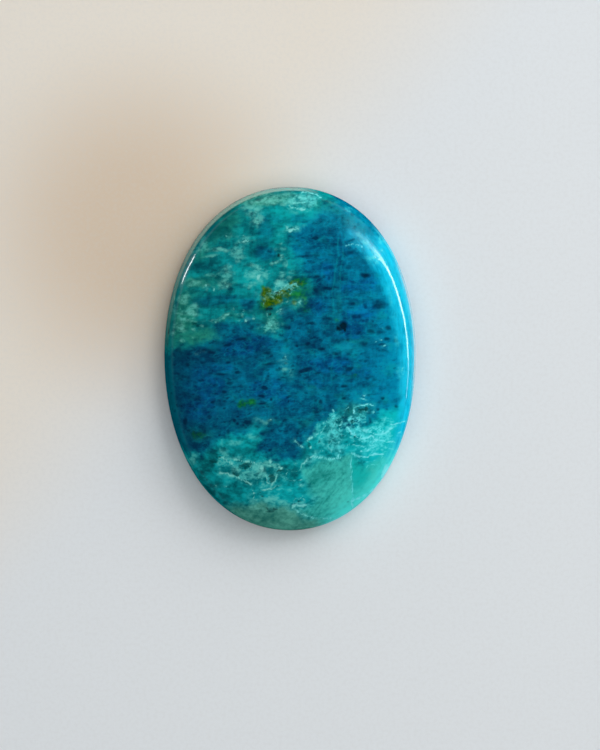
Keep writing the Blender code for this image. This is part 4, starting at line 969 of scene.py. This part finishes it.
# The marks, from those deep in the rock to those at its face. Noise roughens them, and is kept from
# making marks of its own elsewhere.
rightness = marking("right")
scattered = needles * (1 - in_aqua) * (0.55 - marking("teal").between(-0.5, 0.5) * 0.3)
scattered = scattered * (1 - marking("glow").between(0.0, 0.5)) * (1 - rightness * 0.3)
fleck = (marking("fleck") + grit * 0.22 + curd * 0.3).between(0.05, 0.85) * 0.85
colour = start.math("MAXIMUM", fleck, scattered).over(colour, NAVY)
hairline = (marking("hairline") + grit * 0.2).between(0.1, 0.9) * 0.42
colour = hairline.over(colour, CLEAR_TEAL)
grass = (marking("grass") * (curd * 1.2 + grit * 0.8 + 1)).between(0.1, 1.0) * 0.85
colour = grass.over(colour, (grit * 0.9 + curd * 0.9).between(-0.4, 0.6).over(DEEP_GRASS, CLEAR_GRASS))
olive = (marking("olive") * (curd * 0.7 + grit * 0.6 + 1.1)).between(0.06, 0.85) * 0.97
colour = olive.over(colour, (grit * 0.8 + curd * 0.9).between(-0.45, 0.5).over(DEEP_OLIVE, CLEAR_OLIVE))
black = (marking("black") + grit * 0.4 + curd * 0.3).between(0.15, 0.85) * 0.92
colour = (black * there("black", 0.2)).over(colour, NEARLY_BLACK)
foam = (curd * 0.75 + grit * 0.8 + mottle * 0.4).between(-0.42, 0.5)
pale = (marking("pale") + curd * 0.3).between(0.05, 1.05) * (foam * 0.88 + 0.12)
pale_colour = rightness.over(PALE_TEAL, PALE_CYAN)
lace_colour = rightness.over(LACE_TEAL, LACE_CYAN)
white_colour = rightness.over(WHITE_QUARTZ, WHITE_CYAN)
colour = (pale * 0.85).over(colour, pale_colour)
laced = (marking("lace") + mottle * 1.2 + curd * 0.8).between(0.25, 1.2) * there("lace", 0.3)
lacework = start.math("MAXIMUM", crust, filigree * 0.85)
lines = lacework * laced * (0.85 + grit * 0.6)
colour = lines.over(colour, lace_colour)
colour = (frost * laced * 0.9).over(colour, lace_colour)
gap = (marking("gap") * 1.1 + curd * 0.7 + grit * 0.8 + spark * 0.3 - 0.42).between(0.0, 0.6)
gap = gap * there("gap", 0.25) * 0.78
colour = gap.over(colour, DARK_GREEN)
jag = curd * 0.5 + grit * 0.7 + spark * 0.4
vein = (marking("vein") * 1.2 + jag * 0.6 + mottle * 0.3).between(0.15, 0.95)
vein = vein * there("vein", 0.3)
colour = (vein * 0.85).over(colour, vein.between(0.2, 0.9).over(lace_colour, white_colour))
white = (marking("white") * 1.25 + jag - 0.45).between(0.0, 0.9) * there("white", 0.3)
colour = (white * 0.95).over(colour, white.between(0.1, 0.8).over(lace_colour, white_colour))

# The face is polished. The wall is only ground fine, so it takes light without mirroring the floor.
# Softer minerals wear a little lower than the quartz under the polishing cloth.
RELIEF = 0.012 * MM
STONE_IOR = 1.6
GROUND_ROUGHNESS = 0.55
tree.links.new(colour.socket, shader.inputs["Base Color"])
worn = white * 0.3 + pale * 0.2 - gap * 0.8 - black * 0.6 + mottle * 0.25
relief = start.node("ShaderNodeBump", {}, {"Strength": 1.0, "Distance": RELIEF, "Height": worn})
tree.links.new(relief.socket, shader.inputs["Normal"])
# Painted glow: the lower right edge emits light, standing in for light come through the thin clear rock.
passed_light = marking("lit_edge").over(NO_LIGHT, PASSED_LIGHT)
tree.links.new(passed_light.socket, shader.inputs["Emission Color"])
shader.inputs["Emission Strength"].default_value = PASSED_STRENGTH
roughness = 0.05 + pale * 0.05 + white * 0.05 + marking("haze") * (0.13 + curd * 0.08)
tree.links.new(roughness.socket, shader.inputs["Roughness"])
shader.inputs["IOR"].default_value = STONE_IOR
ground = start.node(
    "ShaderNodeBsdfPrincipled", {},
    {
        "Base Color": colour, "Roughness": GROUND_ROUGHNESS, "Specular IOR Level": 0.0, "IOR": STONE_IOR,
        "Emission Color": passed_light, "Emission Strength": PASSED_STRENGTH,
    },
)
finish = start.node(
    "ShaderNodeMixShader", {}, {0: marking("wall"), 1: Shade(tree, shader.outputs[0]), 2: ground}
)
tree.links.new(finish.socket, tree.nodes["Material Output"].inputs["Surface"])

stone = bpy.data.objects.new("cabochon_stone", stone_mesh)
bpy.context.scene.collection.objects.link(stone)
stone_mesh.materials.append(stone_material)
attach(stone, "root")
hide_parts("cabochon")

# The floor: a plain pale board that the stone lies on. It is cooler in front, painted with warmer light
# towards the upper left, and painted with a tan shade just beyond the stone's upper left side. Its sizes
# and places are in metres.
FLOOR_HALF = 0.9
TOWARDS_UPPER_LEFT = (-0.75, 0.66, 0.0)
TAN_MIDDLE = (-0.013, 0.0115, 0.0)
FIBRES_PER_METRE = 3.0 / MM
COOL_FLOOR = srgb(222, 227, 230)
WARM_LIGHT_FLOOR = srgb(228, 222, 211)
TAN_SHADE_FLOOR = srgb(208, 189, 166)
FLOOR_GRAIN = srgb(206, 208, 208)
FLOOR_RELIEF = 0.02 * MM
FLOOR_ROUGHNESS = 0.7
FLOOR_SPECULAR = 0.2
floor_mesh = bpy.data.meshes.new("floor")
floor_mesh.from_pydata(
    [(x * FLOOR_HALF, y * FLOOR_HALF, 0.0) for x, y in ((-1, -1), (1, -1), (1, 1), (-1, 1))],
    [], [(0, 1, 2, 3)],
)
floor = bpy.data.objects.new("floor", floor_mesh)
bpy.context.scene.collection.objects.link(floor)
floor_material, floor_tree, floor_shader = new_material("pale_board")
floor_start = Shade(floor_tree, None)
floor_place = floor_start.node("ShaderNodeTexCoord", {}, {}, output="Object")
upper_left = floor_start.node(
    "ShaderNodeVectorMath", {"operation": "DOT_PRODUCT"}, {0: floor_place, 1: TOWARDS_UPPER_LEFT},
    output="Value",
)
from_tan = floor_start.node(
    "ShaderNodeVectorMath", {"operation": "DISTANCE"}, {0: floor_place, 1: TAN_MIDDLE}, output="Value"
)
fibres = floor_start.node(
    "ShaderNodeTexNoise", {"noise_dimensions": "3D"},
    {"Vector": floor_place, "Scale": FIBRES_PER_METRE, "Detail": 3, "Roughness": 0.6},
)
# Painted light and shade: warmer light towards the upper left, and a tan shade by the stone's upper left.
floor_colour = upper_left.between(0.003, 0.018).over(COOL_FLOOR, WARM_LIGHT_FLOOR)
floor_colour = ((1 - from_tan.between(0.003, 0.019)) * 0.9).over(floor_colour, TAN_SHADE_FLOOR)
floor_colour = (fibres.between(0.40, 0.70) * 0.16).over(floor_colour, FLOOR_GRAIN)
floor_relief = floor_start.node(
    "ShaderNodeBump", {}, {"Strength": 0.3, "Distance": FLOOR_RELIEF, "Height": fibres}
)
floor_tree.links.new(floor_relief.socket, floor_shader.inputs["Normal"])
floor_tree.links.new(floor_colour.socket, floor_shader.inputs["Base Color"])
floor_shader.inputs["Roughness"].default_value = FLOOR_ROUGHNESS
floor_shader.inputs["Specular IOR Level"].default_value = FLOOR_SPECULAR
floor_mesh.materials.append(floor_material)

# The light: soft lights from the right, from low down and from overhead, which the polish doesn't
# mirror, and strips that only the polish shows. A chain of them is the edge of a window, whose mirror
# image runs down the right shoulder.
LIGHT_DISTANCE = 0.5
STRIP_OVERLAP = 1.02
NORTH = np.array([0.0, 1.0, 0.0])


def direction(tilt, azimuth):
    """A unit vector at a tilt from +Z and an azimuth from +X, both in degrees."""
    t, a = math.radians(tilt), math.radians(azimuth)
    return np.array([math.sin(t) * math.cos(a), math.sin(t) * math.sin(a), math.cos(t)])


def placed(right, up, back, where):
    """The matrix of an object whose own X, Y and Z run right, up and back, at the place given."""
    rows = np.eye(4)
    rows[:3] = np.stack([right, up, back, where], -1)
    return Matrix(rows.tolist())


def area_light(name, middle, side, width, length, glare):
    """A flat light facing the stone, its length along side, and as bright as a mirror would show."""
    light = bpy.data.lights.new(name, "AREA")
    light.shape = "RECTANGLE"
    light.size = width
    light.size_y = length
    light.energy = glare * math.pi * width * length
    lamp = bpy.data.objects.new(name, light)
    back = middle / np.linalg.norm(middle)
    along = side - back * (side @ back)
    along = along / np.linalg.norm(along)
    lamp.matrix_world = placed(np.cross(along, back), along, back, middle)
    bpy.context.scene.collection.objects.link(lamp)
    return lamp


def mirrored_strip(name, first, second, width, glare):
    """A narrow light between two directions that the polish mirrors but that lights nothing else."""
    a, b = direction(*first) * LIGHT_DISTANCE, direction(*second) * LIGHT_DISTANCE
    lamp = area_light(name, (a + b) / 2, b - a, width, np.linalg.norm(b - a) * STRIP_OVERLAP, glare)
    lamp.visible_diffuse = False


# The window's edge runs from its first corner through the rest, all as (tilt, azimuth), each with the
# width and the glare of the strip that ends there.
corner = (47, 42)
WINDOW_EDGE = [
    ((50, 36), 0.024, 2.4), ((55, 29), 0.032, 4.2), ((61, 20), 0.038, 9.0), ((65, 10), 0.038, 11.0),
    ((69, 2.5), 0.036, 11.0), ((73, -5), 0.028, 9.0), ((77, -13), 0.018, 4.0),
]
for number, (next_corner, width, glare) in enumerate(WINDOW_EDGE):
    mirrored_strip("window_strip_%d" % number, corner, next_corner, width, glare)
    corner = next_corner
mirrored_strip("left_strip", (79, 153), (86, 163), 0.036, 14.0)
for name, middle, width, length, glare in (
    ("soft_key", direction(52, 56) * LIGHT_DISTANCE, 0.32, 0.40, 3.5),
    ("low_window", direction(68, 10) * LIGHT_DISTANCE, 0.30, 0.40, 2.0),
    ("overhead_fill", direction(0, 0) * 0.6, 1.0, 1.0, 1.06),
):
    area_light(name, middle, NORTH, width, length, glare).visible_glossy = False

# The sky is dark overhead and dim at the horizon, which is bright beyond the top of the stone.
world = bpy.data.worlds.new("studio")
bpy.context.scene.world = world
world.use_nodes = True
world_tree = world.node_tree
world_start = Shade(world_tree, None)
sky_place = world_start.node("ShaderNodeTexCoord", {}, {}, output="Generated")
sky_height = world_start.node("ShaderNodeSeparateXYZ", {}, {0: sky_place}, output="Z")
OVERHEAD = (0.02, 0.02, 0.022, 1.0)
DIM_HORIZON = (0.09, 0.10, 0.11, 1.0)
BRIGHT_HORIZON = (0.85, 0.84, 0.78, 1.0)
BRIGHT_SIDE = (-0.34, 0.94, 0.0)
towards_top = world_start.node(
    "ShaderNodeVectorMath", {"operation": "DOT_PRODUCT"}, {0: sky_place, 1: BRIGHT_SIDE}, output="Value"
)
horizon = towards_top.between(0.1, 0.7).over(DIM_HORIZON, BRIGHT_HORIZON)
sky = sky_height.between(0.20, 0.34).over(horizon, OVERHEAD)
world_tree.links.new(sky.socket, world_tree.nodes["Background"].inputs["Color"])

# The camera: looking down on the stone, a little from its upper left, as the photograph does. It is
# aimed so that the stone's middle falls on the same pixel, and is as large as it is there.
CAMERA_DISTANCE = SEEN_FROM * MM
AIM_HEIGHT = SEEN_HEIGHT * MM
SENSOR_WIDTH = 36.0
NEAREST_SEEN = 0.01
PIXELS_PER_MM = 11.54
PHOTO_WIDTH, PHOTO_HEIGHT = 600, 750
STONE_CENTRE = (291.0, 360.5)
camera_data = bpy.data.cameras.new("camera")
camera = bpy.data.objects.new("camera", camera_data)
bpy.context.scene.collection.objects.link(camera)
back = np.array([-math.sin(LEAN_LEFT), math.sin(LEAN_UP), 1.0])
back = back / np.linalg.norm(back)
right = np.cross(NORTH, back)
right = right / np.linalg.norm(right)
up = np.cross(back, right)
aim = np.array([0.0, 0.0, AIM_HEIGHT])
aim = aim + right * (PHOTO_WIDTH / 2 - STONE_CENTRE[0]) / PIXELS_PER_MM * MM
aim = aim + up * (STONE_CENTRE[1] - PHOTO_HEIGHT / 2) / PIXELS_PER_MM * MM
camera.matrix_world = placed(right, up, back, aim + back * CAMERA_DISTANCE)
camera_data.sensor_width = SENSOR_WIDTH
camera_data.lens = SENSOR_WIDTH * CAMERA_DISTANCE / (PHOTO_HEIGHT / PIXELS_PER_MM * MM)
camera_data.clip_start = NEAREST_SEEN
bpy.context.scene.camera = camera
bpy.context.scene.view_settings.view_transform = "Standard"
